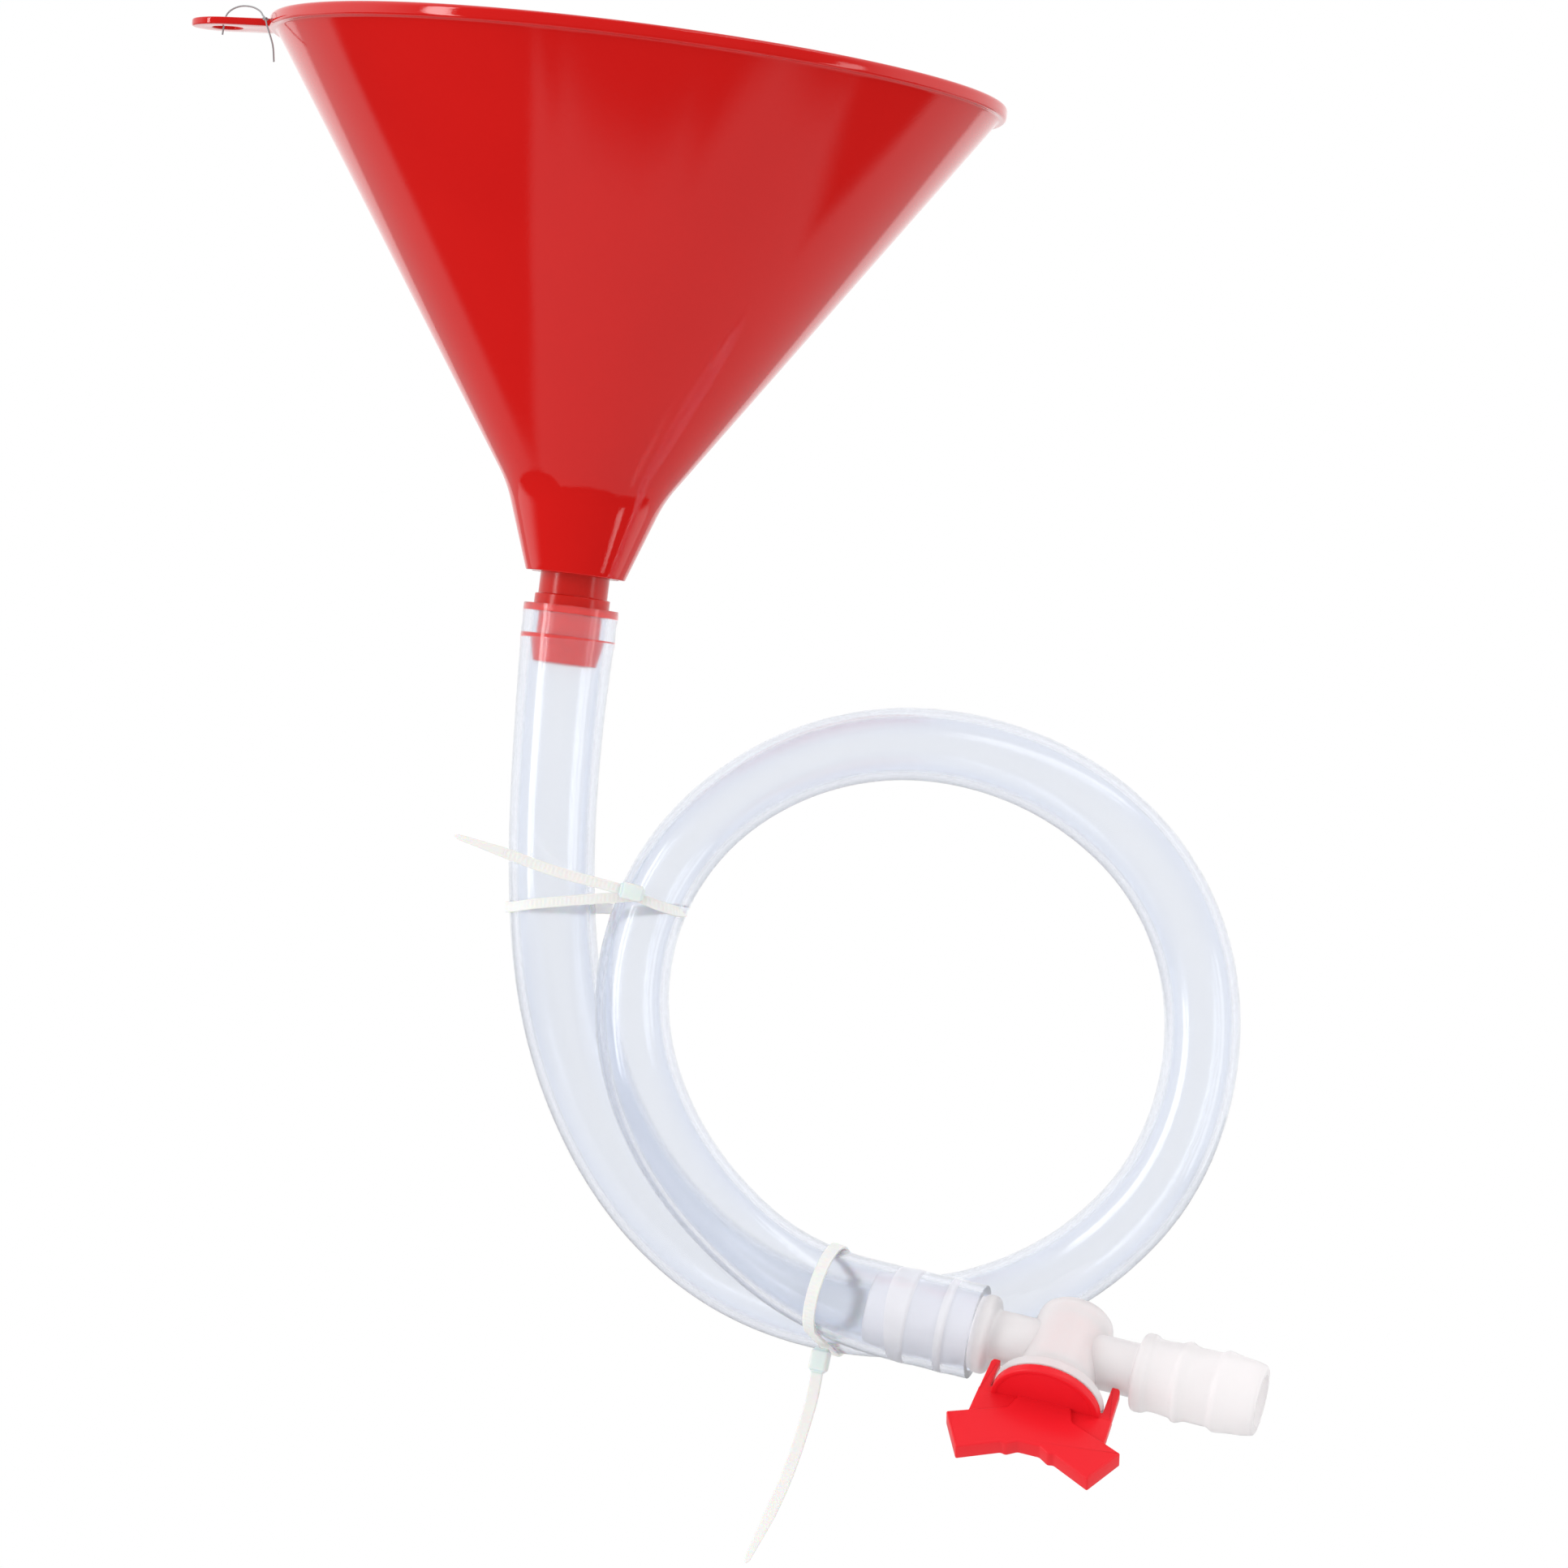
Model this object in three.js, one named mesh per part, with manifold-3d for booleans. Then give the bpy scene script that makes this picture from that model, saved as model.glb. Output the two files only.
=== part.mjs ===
// A utility funnel with a clear hose coiled once on itself and a plug valve on the hose's far end.
// Millimetres, +Z up. The origin is the centre of the rim's top face, and the funnel's axis is Z.
import * as THREE from "three";
import { mergeVertices } from "three/addons/utils/BufferGeometryUtils.js";
import Module from "manifold-3d";

const wasm = await Module();
wasm.setup();

// Fits
const GAP = 0.3; // clearance between pieces that touch on the real object
const BARB_FIT = 0.3; // between a barb and the hose stretched over it
const PLUG_FIT = 0.3; // radial clearance of the turning plug in its housing
const KNIT = 0.4; // depth by which joined shapes of one moulding run into each other

// Funnel
const RIM_R = 107.85; // outside of the rolled lip
const LIP_HEIGHT = 4;
const LIP_OVERHANG = 2.3; // from the bowl's wall to the outside of the lip
const WALL = 1.7;
const SHOULDER_Z = -125.6; // where the bowl turns into the neck
const SHOULDER_R = 23.1;
const NECK_END_Z = -149.9;
const NECK_END_R = 14.5;
const FUNNEL_SEGMENTS = 72;

// Hang tab on the lip
const TAB_HOLE_OUT = 12.35; // from the outside of the lip to the middle of the hole
const TAB_HALF_WIDTH = 10.4;
const TAB_HOLE_R = 4.4;
const TAB_TOP_Z = -2.5;
const TAB_THICKNESS = 2.1;
const TAB_TILT = 0.08; // radians: the tab's free end hangs lower than its root
const TAB_HOLE_X = -(RIM_R + TAB_HOLE_OUT);

// Spout adapter: distances run down from the neck's end
const ADAPTER_BORE_R = 7.2;
const ADAPTER_SEAT_HEIGHT = 10;
const ADAPTER_TUBE_R = 10.1;
const ADAPTER_WAIST_R = 9.25;
const ADAPTER_RING_R = 11;
const ADAPTER_RING_FROM = 6.3;
const ADAPTER_RING_TO = 11.5;
const ADAPTER_BARB_FROM = 18;
const ADAPTER_LENGTH = 26;
const ADAPTER_SEGMENTS = 40;

// Hose
const HOSE_R = 12.5;
const HOSE_BORE_R = 10;
const HOSE_SIDES = 12;
const HOSE_STEPS = 54;
const SLEEVE_TAPER = 12; // length over which the stretched hose returns to its own size

// The hose's centreline: down from the spout, back and round behind, up the right of the loop,
// over the top, down its left and forward to the valve.
const HOSE_ROUTE = [
  [0, 0, -159.2],
  [0.2, 0, -176],
  [0.8, 0, -196],
  [2.2, 0.6, -220],
  [4.9, 3.2, -244],
  [8.6, 6.9, -263.7],
  [13.1, 10.2, -279],
  [19.3, 12.9, -293.7],
  [27.2, 15, -307.6],
  [36.5, 16.8, -320.2],
  [47.2, 18.2, -331.1],
  [59.2, 19.2, -340.1],
  [72.3, 19.8, -347.1],
  [87, 20, -351.8],
  [104, 20, -354.2],
  [122, 19.5, -353.4],
  [140, 18, -348.9],
  [157, 15.6, -340.4],
  [173, 12.4, -328],
  [187.5, 8.4, -309.4],
  [195.3, 5.4, -289.6],
  [197.9, 3.2, -269.9],
  [196.1, 1.6, -250.2],
  [189.8, 0.6, -231.6],
  [179.1, 0, -215.4],
  [164.7, -0.4, -202.4],
  [146.5, -0.8, -192.6],
  [127.6, -1.1, -187.3],
  [107.9, -1.5, -186],
  [88.4, -2, -189.2],
  [70.1, -2.6, -197],
  [54.1, -3.2, -209],
  [42.4, -3.9, -223.3],
  [34.4, -4.6, -240.9],
  [31.4, -5.2, -261.2],
  [33.9, -5.7, -281.4],
  [41.4, -6, -299.8],
  [52.9, -6.1, -316.2],
  [67.4, -6, -329.8],
  [83.6, -5.8, -340.6],
  [99, -6, -346.6],
  [112.6, -8.68, -349.4],
  [127.6, -12.15, -350.85],
  [142.7, -15.66, -352.31],
];

// Cable ties: each runs round two stretches of the hose
const TIE_WIDTH = 4.4;
const TIE_THICKNESS = 1.2;
const TIE_HEAD = [7, 5.4, 6.4];
const TIES = {
  upper_cable_tie: {
    around: [
      [5.3, 3.6, -246.6],
      [34.4, -4.7, -243.8],
    ],
    normal: [-0.1, 0, 0.995],
    inner: 14.4,
    head: [25.5, -19.9, -242],
    tail: [-24.3, -25, -228.9],
  },
  lower_cable_tie: {
    around: [
      [98.5, -5.9, -346.4],
      [104.5, 20, -354.2],
    ],
    normal: [0.946, -0.289, -0.147],
    inner: 14.8,
    head: [98.6, 3.4, -366.2],
    tail: [84.7, -1, -428.4],
  },
};

// Tag thread
const THREAD_R = 0.25;
const THREAD_STEPS = 28;
const KNOT_R = 0.9;
const KNOT_AT = 9; // index of the route's point that carries the knot
// Points from the middle of the tab's hole, across and back, with true heights
const THREAD_ROUTE = [
  [-1.4, 3, -6.5],
  [-1.3, 2.9, -4.4],
  [-1.2, 2.9, -2],
  [-0.7, 2.9, -0.2],
  [1, 2.8, 1.5],
  [3.6, 1.6, 2.4],
  [6.8, -1.6, 2.1],
  [9.4, -5.8, 0.8],
  [10.8, -10, -0.8],
  [12, -14, -2.1],
  [13, -16.8, -4.4],
  [14.2, -19, -6.8],
  [15.8, -21.5, -10.5],
  [16.8, -23.5, -15],
];

// Valve: its place, the way that the liquid leaves, and the way that the key faces
const VALVE_CENTRE = [168.3, -21.6, -354.8];
const OUTLET_DIRECTION = [0.97, -0.225, -0.094];
const KEY_DIRECTION = [-0.224, -0.669, -0.708];
const PIPE_HALF_LENGTH = 58.2;
const PIPE_BORE_R = 6.2;
const MOUTH_R = 7.6; // the bore opens out towards each end
const MOUTH_DEPTH = 24;
const PIPE_NECK_R = 7.9;
const FLANGE_TO = 26.4;
const FLANGE_WIDTH = 4.7;
const FLANGE_FROM = FLANGE_TO - FLANGE_WIDTH;
const FLANGE_R = 11.5;
const BARB_R = 11.8;
const BARB_ROOT_R = 10.9;
const BARB_TIP_R = 10.3;
const BARBS = [34.6, 46.4]; // distance of each barb's edge from the valve's centre
const HOUSING_WALL = 2;
const HOUSING_BOTTOM = -13.9;
const PLUG_BOTTOM = -11.2;
const COLLAR_FROM = 15.4;
const COLLAR_TOP = 18.7;
const VALVE_SEGMENTS = 32;

// Key: plug, disc, two ears and a pair of swept wings in one moulding
const PLUG_R = 9;
const HOUSING_R = PLUG_R + PLUG_FIT + HOUSING_WALL;
const PLUG_BORE_R = 5.5;
const DISC_FRONT = 21.6;
const DISC_R = 16.2;
const COLLAR_R = DISC_R; // the housing's collar is as wide as the disc that covers it
const EAR_IN = DISC_R + 0.4;
const EAR_OUT = EAR_IN + 3;
const EAR_THICKNESS = 3.5;
const EAR_END = PIPE_NECK_R + 1.4;
const WEB_THICKNESS = 3.2;
const WING_THICKNESS = 5.6;
const RING_GROOVES = { key_o_ring_lower: -8.7, key_o_ring_upper: 9.2 };
const RING_SECTION_R = 0.65;
const GROOVE_HALF_WIDTH = 0.95;
const GROOVE_FLOOR_R = PLUG_R - 1.25;
const RING_SEGMENTS = 24;
const RING_SIDES = 8;

const MATERIALS = {
  funnel: [0xc21a16, 0.3],
  adapter: [0xcf2a1c, 0.35],
  hose: [0xdfe5f2, 0.12],
  tie: [0xeeeee6, 0.45],
  thread: [0xa8a8a8, 0.6],
  valve: [0xe9e6e6, 0.4],
  key: [0xe2232f, 0.38],
  seal: [0x1c1c1c, 0.6],
};

function materialOf(slot) {
  const [color, roughness] = MATERIALS[slot];
  return new THREE.MeshStandardMaterial({ color, roughness, metalness: 0 });
}

// Six times the volume that a triangle spans with the origin, added over a mesh
function signedVolume(position, triangles) {
  const corner = [new THREE.Vector3(), new THREE.Vector3(), new THREE.Vector3()];
  let total = 0;
  for (let t = 0; t < triangles.length; t += 3) {
    corner.forEach((point, k) => point.fromBufferAttribute(position, triangles[t + k]));
    total += corner[0].dot(corner[1].clone().cross(corner[2]));
  }
  return total;
}

// A closed geometry as a manifold solid, turned outwards if its faces point in
function solid(geometry) {
  geometry.deleteAttribute("normal");
  geometry.deleteAttribute("uv");
  const merged = mergeVertices(geometry, 1e-4);
  const index = merged.getIndex().array;
  const kept = [];
  for (let t = 0; t < index.length; t += 3) {
    const [a, b, c] = [index[t], index[t + 1], index[t + 2]];
    if (a !== b && b !== c && a !== c) kept.push(a, b, c);
  }
  if (signedVolume(merged.attributes.position, kept) < 0) kept.reverse();
  const vertProperties = new Float32Array(merged.attributes.position.array);
  const triVerts = new Uint32Array(kept);
  return new wasm.Manifold(new wasm.Mesh({ numProp: 3, vertProperties, triVerts }));
}

function mesh(name, slot, body) {
  const { vertProperties, triVerts } = body.getMesh();
  const geometry = new THREE.BufferGeometry();
  geometry.setAttribute("position", new THREE.BufferAttribute(vertProperties, 3));
  geometry.setIndex(new THREE.BufferAttribute(triVerts, 1));
  geometry.computeVertexNormals();
  const result = new THREE.Mesh(geometry, materialOf(slot));
  result.name = name;
  return result;
}

// A solid of revolution about Z from points [radius, height]; closed on itself if it leaves the axis
function turned(profile, segments) {
  const points = profile.map(([r, z]) => new THREE.Vector2(Math.max(r, 0), z));
  if (profile[0][0] > 0) points.push(points[0].clone());
  return solid(new THREE.LatheGeometry(points, segments).rotateX(Math.PI / 2));
}

// The same about X: heights become distances along +X
function turnedAlongX(profile, segments) {
  const points = profile.map(([r, x]) => new THREE.Vector2(r, x));
  if (profile[0][0] > 0) points.push(points[0].clone());
  return solid(new THREE.LatheGeometry(points, segments).rotateZ(-Math.PI / 2));
}

function cylinder(radius, from, to, segments) {
  return turned([[0, from], [radius, from], [radius, to], [0, to]], segments);
}

function polygon(points) {
  return new THREE.Shape(points.map(([x, y]) => new THREE.Vector2(x, y)));
}

function circlePoints(radius, count, x = 0, y = 0) {
  const step = (2 * Math.PI) / count;
  const at = (k) => [x + radius * Math.cos(k * step), y + radius * Math.sin(k * step)];
  return Array.from({ length: count }, (_, k) => at(k));
}

function box(x0, x1, y0, y1, z0, z1) {
  const geometry = new THREE.BoxGeometry(x1 - x0, y1 - y0, z1 - z0);
  return solid(geometry.translate((x0 + x1) / 2, (y0 + y1) / 2, (z0 + z1) / 2));
}

function curveThrough(points) {
  return new THREE.CatmullRomCurve3(points.map((p) => new THREE.Vector3(...p)));
}

function tube(points, radius, sides, steps) {
  const extrudePath = curveThrough(points);
  return solid(new THREE.ExtrudeGeometry(polygon(circlePoints(radius, sides)), { steps, extrudePath }));
}

// Axes of a frame whose Z is the first direction and whose X is as near the second as it can be
function basis(zDirection, xDirection) {
  const z = new THREE.Vector3(...zDirection).normalize();
  const x = new THREE.Vector3(...xDirection);
  x.addScaledVector(z, -x.dot(z)).normalize();
  const y = z.clone().cross(x);
  return new THREE.Matrix4().makeBasis(x, y, z);
}

// Slope of the bowl and of the neck: change of radius for each millimetre of height
const BOWL_TOP_R = RIM_R - LIP_OVERHANG;
const BOWL_SLOPE = (BOWL_TOP_R - SHOULDER_R) / (-LIP_HEIGHT - SHOULDER_Z);
const NECK_SLOPE = (SHOULDER_R - NECK_END_R) / (SHOULDER_Z - NECK_END_Z);
const BOWL_WALL = WALL * Math.hypot(1, BOWL_SLOPE); // the wall measured along the radius
const NECK_WALL = WALL * Math.hypot(1, NECK_SLOPE);
const NECK_MOUTH_R = NECK_END_R - NECK_WALL;
const SHOULDER_ROUND = 5; // the shoulder's fillet reaches this far up and down the walls

// Points of a smooth turn between two straight walls through the shoulder, as a parabola
function shoulderTurn(inset) {
  const top = [SHOULDER_R + SHOULDER_ROUND * BOWL_SLOPE - inset, SHOULDER_Z + SHOULDER_ROUND];
  const middle = [SHOULDER_R - inset, SHOULDER_Z];
  const low = [SHOULDER_R - SHOULDER_ROUND * NECK_SLOPE - inset, SHOULDER_Z - SHOULDER_ROUND];
  const blend = (t, k) => (1 - t) ** 2 * low[k] + 2 * t * (1 - t) * middle[k] + t ** 2 * top[k];
  return [0, 0.25, 0.5, 0.75, 1].map((t) => [blend(t, 0), blend(t, 1)]);
}

function hangTab() {
  const outline = new THREE.Shape();
  const root = -(RIM_R - LIP_OVERHANG - 2 * WALL);
  outline.moveTo(root, -TAB_HALF_WIDTH);
  outline.lineTo(root, TAB_HALF_WIDTH);
  outline.lineTo(TAB_HOLE_X, TAB_HALF_WIDTH);
  outline.absarc(TAB_HOLE_X, 0, TAB_HALF_WIDTH, Math.PI / 2, 1.5 * Math.PI, false);
  outline.closePath();
  outline.holes.push(polygon(circlePoints(TAB_HOLE_R, 28, TAB_HOLE_X)));
  const plate = new THREE.ExtrudeGeometry(outline, {
    depth: TAB_THICKNESS,
    bevelEnabled: false,
    curveSegments: 14,
  });
  plate.translate(-TAB_HOLE_X, 0, -TAB_THICKNESS);
  plate.rotateY(-TAB_TILT);
  return solid(plate.translate(TAB_HOLE_X, 0, TAB_TOP_Z));
}

function funnel() {
  const lipRound = 1.2;
  const outside = turned(
    [
      [0, NECK_END_Z],
      [NECK_END_R, NECK_END_Z],
      ...shoulderTurn(0),
      [BOWL_TOP_R, -LIP_HEIGHT],
      [RIM_R - lipRound, -LIP_HEIGHT],
      [RIM_R - lipRound / 3, -LIP_HEIGHT + lipRound / 3],
      [RIM_R, -LIP_HEIGHT + lipRound],
      [RIM_R, -lipRound],
      [RIM_R - lipRound / 3, -lipRound / 3],
      [RIM_R - lipRound, 0],
      [0, 0],
    ],
    FUNNEL_SEGMENTS,
  );
  const inside = turned(
    [
      [0, NECK_END_Z - 1],
      [NECK_MOUTH_R - NECK_SLOPE, NECK_END_Z - 1],
      ...shoulderTurn((BOWL_WALL + NECK_WALL) / 2),
      [BOWL_TOP_R - BOWL_WALL, -LIP_HEIGHT],
      [BOWL_TOP_R - WALL, -lipRound],
      [BOWL_TOP_R - WALL, 1],
      [0, 1],
    ],
    FUNNEL_SEGMENTS,
  );
  return mesh("funnel", "funnel", outside.add(hangTab()).subtract(inside));
}

// A barbed tube whose conical head drops into the neck from above and rests on its walls
function spoutAdapter() {
  const down = (distance) => NECK_END_Z - distance;
  const seatLow = NECK_MOUTH_R - GAP;
  const seatTop = NECK_END_Z + ADAPTER_SEAT_HEIGHT;
  const profile = [
    [ADAPTER_BORE_R, down(ADAPTER_LENGTH)],
    [ADAPTER_WAIST_R, down(ADAPTER_LENGTH)],
    [ADAPTER_RING_R, down(ADAPTER_BARB_FROM)],
    [ADAPTER_WAIST_R, down(ADAPTER_BARB_FROM)],
    [ADAPTER_WAIST_R, down(ADAPTER_RING_TO)],
    [ADAPTER_RING_R, down(ADAPTER_RING_TO)],
    [ADAPTER_RING_R, down(ADAPTER_RING_FROM)],
    [ADAPTER_TUBE_R, down(ADAPTER_RING_FROM)],
    [ADAPTER_TUBE_R, down(0)],
    [seatLow, down(0)],
    [seatLow + ADAPTER_SEAT_HEIGHT * NECK_SLOPE, seatTop],
    [seatLow + ADAPTER_SEAT_HEIGHT * NECK_SLOPE - 1, seatTop],
    [ADAPTER_BORE_R, down(0)],
  ];
  return mesh("spout_adapter", "adapter", turned(profile, ADAPTER_SEGMENTS));
}

// A hose end that a barb has stretched: full size over the barb, then a taper to the hose's size
function sleeve(radius, length) {
  const taperEnd = length + SLEEVE_TAPER;
  const inner = HOSE_R - KNIT;
  return [[0, 0], [radius, 0], [radius, length], [inner, taperEnd], [0, taperEnd]];
}

function socket(radius, length) {
  return [[0, -1], [radius, -1], [radius, length], [HOSE_BORE_R - KNIT, length + 4], [0, length + 4]];
}

// Outside radius of the hose where its bore is stretched: the wall keeps its area
function stretched(bore) {
  return Math.sqrt(bore ** 2 + HOSE_R ** 2 - HOSE_BORE_R ** 2);
}

function hose() {
  const spoutEnd = new THREE.Matrix4().makeTranslation(...HOSE_ROUTE[0]);
  spoutEnd.multiply(new THREE.Matrix4().makeRotationX(Math.PI));
  const back = OUTLET_DIRECTION.map((value) => -value);
  const valveEnd = basis(back, KEY_DIRECTION);
  valveEnd.setPosition(...HOSE_ROUTE.at(-1));
  const put = (body, matrix) => body.transform(matrix.elements);
  const spoutSocketR = ADAPTER_RING_R + BARB_FIT;
  const spoutDepth = HOSE_ROUTE[0][2] - (NECK_END_Z - ADAPTER_LENGTH) + 1;
  const valveSocketR = BARB_R + BARB_FIT;
  const valveDepth = PIPE_HALF_LENGTH - FLANGE_TO + 1;
  const outside = tube(HOSE_ROUTE, HOSE_R, HOSE_SIDES, HOSE_STEPS)
    .add(put(turned(sleeve(stretched(spoutSocketR), spoutDepth), ADAPTER_SEGMENTS), spoutEnd))
    .add(put(turned(sleeve(stretched(valveSocketR), valveDepth), VALVE_SEGMENTS), valveEnd));
  const inside = tube(HOSE_ROUTE, HOSE_BORE_R, HOSE_SIDES, HOSE_STEPS)
    .add(put(turned(socket(spoutSocketR, spoutDepth), ADAPTER_SEGMENTS), spoutEnd))
    .add(put(turned(socket(valveSocketR, valveDepth), VALVE_SEGMENTS), valveEnd));
  return mesh("hose", "hose", outside.subtract(inside));
}

// The convex outline round two equal circles on the X axis, `apart` from each other
function beltOutline(radius, apart, count) {
  const half = count / 2;
  const at = (k, x) => [x + radius * Math.sin((k * Math.PI) / half), -radius * Math.cos((k * Math.PI) / half)];
  const right = Array.from({ length: half + 1 }, (_, k) => at(k, apart / 2));
  const left = Array.from({ length: half + 1 }, (_, k) => at(k + half, -apart / 2));
  return polygon([...right, ...left]);
}

function cableTie(name) {
  const { around, normal, inner, head, tail } = TIES[name];
  const [first, second] = around.map((p) => new THREE.Vector3(...p));
  const across = second.clone().sub(first);
  const apart = across.length();
  const frame = basis(normal, across.toArray());
  const outline = beltOutline(inner + TIE_THICKNESS, apart, 28);
  outline.holes.push(beltOutline(inner, apart, 28));
  const band = new THREE.ExtrudeGeometry(outline, { depth: TIE_WIDTH, bevelEnabled: false });
  band.translate(0, 0, -TIE_WIDTH / 2);
  frame.setPosition(first.clone().add(second).multiplyScalar(0.5));
  band.applyMatrix4(frame);
  const headAt = new THREE.Vector3(...head);
  const tailEnd = new THREE.Vector3(...tail);
  const run = tailEnd.clone().sub(headAt);
  const headFrame = basis(run.toArray(), normal).setPosition(headAt);
  const headBlock = new THREE.BoxGeometry(...TIE_HEAD).applyMatrix4(headFrame);
  const strip = new THREE.BoxGeometry(TIE_WIDTH, TIE_THICKNESS, run.length());
  strip.translate(0, 0, run.length() / 2).applyMatrix4(headFrame);
  return mesh(name, "tie", solid(band).add(solid(headBlock)).add(solid(strip)));
}

function tagThread() {
  const route = THREAD_ROUTE.map(([x, y, z]) => [x + TAB_HOLE_X, y, z]);
  const knot = solid(new THREE.SphereGeometry(KNOT_R, 12, 8).translate(...route[KNOT_AT]));
  return mesh("tag_thread", "thread", tube(route, THREAD_R, 8, THREAD_STEPS).add(knot));
}

// Outline of one half of the valve's pipe, from its middle to its tip, as [radius, distance]
function pipeHalf() {
  const edge = 1.1;
  const barbs = BARBS.flatMap((at, k) => {
    const next = k + 1 < BARBS.length ? BARBS[k + 1] - edge : PIPE_HALF_LENGTH;
    const low = k + 1 < BARBS.length ? BARB_ROOT_R : BARB_TIP_R;
    return [[BARB_ROOT_R, at - edge], [BARB_R, at], [BARB_R, at + edge], [low, next]];
  });
  return [
    [PIPE_NECK_R, FLANGE_FROM - 0.3],
    [FLANGE_R - edge, FLANGE_FROM],
    [FLANGE_R, FLANGE_FROM + edge],
    [FLANGE_R, FLANGE_TO - edge],
    [FLANGE_R - edge, FLANGE_TO - 0.3],
    [BARB_ROOT_R - 0.3, FLANGE_TO + 1.6],
    ...barbs,
  ].filter((point, k, all) => k === 0 || point[1] > all[k - 1][1]);
}

function pipeOutside() {
  const half = pipeHalf();
  const mirrored = half.map(([r, x]) => [r, -x]).reverse();
  const ends = [[0, -PIPE_HALF_LENGTH], ...mirrored, ...half, [0, PIPE_HALF_LENGTH]];
  return turnedAlongX(ends, VALVE_SEGMENTS);
}

function pipeBore() {
  const end = PIPE_HALF_LENGTH + 1;
  const half = [[PIPE_BORE_R, PIPE_HALF_LENGTH - MOUTH_DEPTH], [MOUTH_R, PIPE_HALF_LENGTH], [MOUTH_R, end]];
  const mirrored = half.map(([r, x]) => [r, -x]).reverse();
  return turnedAlongX([[0, -end], ...mirrored, ...half, [0, end]], VALVE_SEGMENTS);
}

function valveBody() {
  const dome = 2.6;
  const housing = turned(
    [
      [0, HOUSING_BOTTOM],
      [HOUSING_R - dome, HOUSING_BOTTOM],
      [HOUSING_R - dome / 3, HOUSING_BOTTOM + dome / 3],
      [HOUSING_R, HOUSING_BOTTOM + dome],
      [HOUSING_R, COLLAR_FROM - 2],
      [COLLAR_R - 1, COLLAR_FROM],
      [COLLAR_R, COLLAR_FROM + 0.6],
      [COLLAR_R, COLLAR_TOP],
      [0, COLLAR_TOP],
    ],
    VALVE_SEGMENTS,
  );
  const well = cylinder(PLUG_R + PLUG_FIT, PLUG_BOTTOM - PLUG_FIT, COLLAR_TOP + 1, VALVE_SEGMENTS);
  const body = pipeOutside().add(housing).subtract(pipeBore()).subtract(well);
  return mesh("valve_body", "valve", body);
}

function grooveProfile(at) {
  const low = at - GROOVE_HALF_WIDTH;
  const high = at + GROOVE_HALF_WIDTH;
  return [[PLUG_R, low], [GROOVE_FLOOR_R, low], [GROOVE_FLOOR_R, high], [PLUG_R, high]];
}

function plugAndDisc() {
  const rimRound = 0.9;
  const under = COLLAR_TOP + GAP;
  const profile = [
    [0, PLUG_BOTTOM],
    [PLUG_R - 0.8, PLUG_BOTTOM],
    [PLUG_R, PLUG_BOTTOM + 0.8],
    ...Object.values(RING_GROOVES).flatMap(grooveProfile),
    [PLUG_R, under],
    [DISC_R, under],
    [DISC_R, DISC_FRONT - rimRound],
    [DISC_R - rimRound * 0.3, DISC_FRONT - rimRound * 0.3],
    [DISC_R - rimRound, DISC_FRONT],
    [0, DISC_FRONT],
  ];
  const along = turnedAlongX([[0, -20], [PLUG_BORE_R, -20], [PLUG_BORE_R, 20], [0, 20]], 24);
  return turned(profile, VALVE_SEGMENTS).subtract(along);
}

// A plate lying in the plane of the pipe and the plug, from points [along the pipe, out from the disc]
function plate(points, thickness) {
  const outline = polygon(points.map(([along, out]) => [along, out + DISC_FRONT]));
  const slab = new THREE.ExtrudeGeometry(outline, { depth: thickness, bevelEnabled: false });
  return solid(slab.translate(0, 0, -thickness / 2).rotateX(Math.PI / 2));
}

function mirroredOutline(half) {
  const left = half.filter(([x]) => x > 0).map(([x, y]) => [-x, y]);
  return [...half, ...left.reverse()];
}

function valveKey() {
  const web = mirroredOutline([[DISC_R - 1.6, -KNIT], [EAR_OUT, -KNIT], [EAR_OUT + 0.5, 8.6], [8, 8.6]]);
  const wings = mirroredOutline([
    [7.5, -KNIT],
    [9.4, 4.2],
    [19.4, 8.4],
    [25.8, 11.2],
    [19.4, 23],
    [7.8, 17.4],
    [6.2, 17.4],
    [3.2, 15.6],
  ]);
  let key = plugAndDisc().add(plate(web, WEB_THICKNESS)).add(plate(wings, WING_THICKNESS));
  const half = EAR_THICKNESS / 2;
  const discUnder = COLLAR_TOP + GAP;
  for (const side of [-1, 1]) {
    const across = (from, to) => [Math.min(side * from, side * to), Math.max(side * from, side * to)];
    key = key.add(box(...across(EAR_IN, EAR_OUT), -half, half, EAR_END, DISC_FRONT));
    key = key.add(box(...across(DISC_R - 3, EAR_OUT), -half, half, discUnder, DISC_FRONT));
  }
  return mesh("valve_key", "key", key);
}

function oRing(name) {
  const middle = GROOVE_FLOOR_R + 0.1 + RING_SECTION_R;
  const profile = circlePoints(RING_SECTION_R, RING_SIDES, middle, RING_GROOVES[name]);
  return mesh(name, "seal", turned(profile, RING_SEGMENTS));
}

function valve() {
  const group = new THREE.Group();
  group.quaternion.setFromRotationMatrix(basis(KEY_DIRECTION, OUTLET_DIRECTION));
  group.position.set(...VALVE_CENTRE);
  group.add(valveBody(), valveKey(), ...Object.keys(RING_GROOVES).map(oRing));
  return group;
}

const assembly = new THREE.Group();
assembly.add(funnel(), spoutAdapter(), hose(), ...Object.keys(TIES).map(cableTie), tagThread(), valve());

export default assembly;
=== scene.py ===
# %% [markdown]
# A funnel with a coiled clear hose and a plug valve
#
# This lesson dresses a finished engineering model in Blender. The model is loaded first and never
# moved. Each visible piece is then worked out with numpy, in metres, where the model says it is,
# and gets a material that is mixed from nodes.

# %% Load the fixed frame
import math

import bmesh
import bpy
import numpy as np
from mathutils import Matrix, Vector


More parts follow.
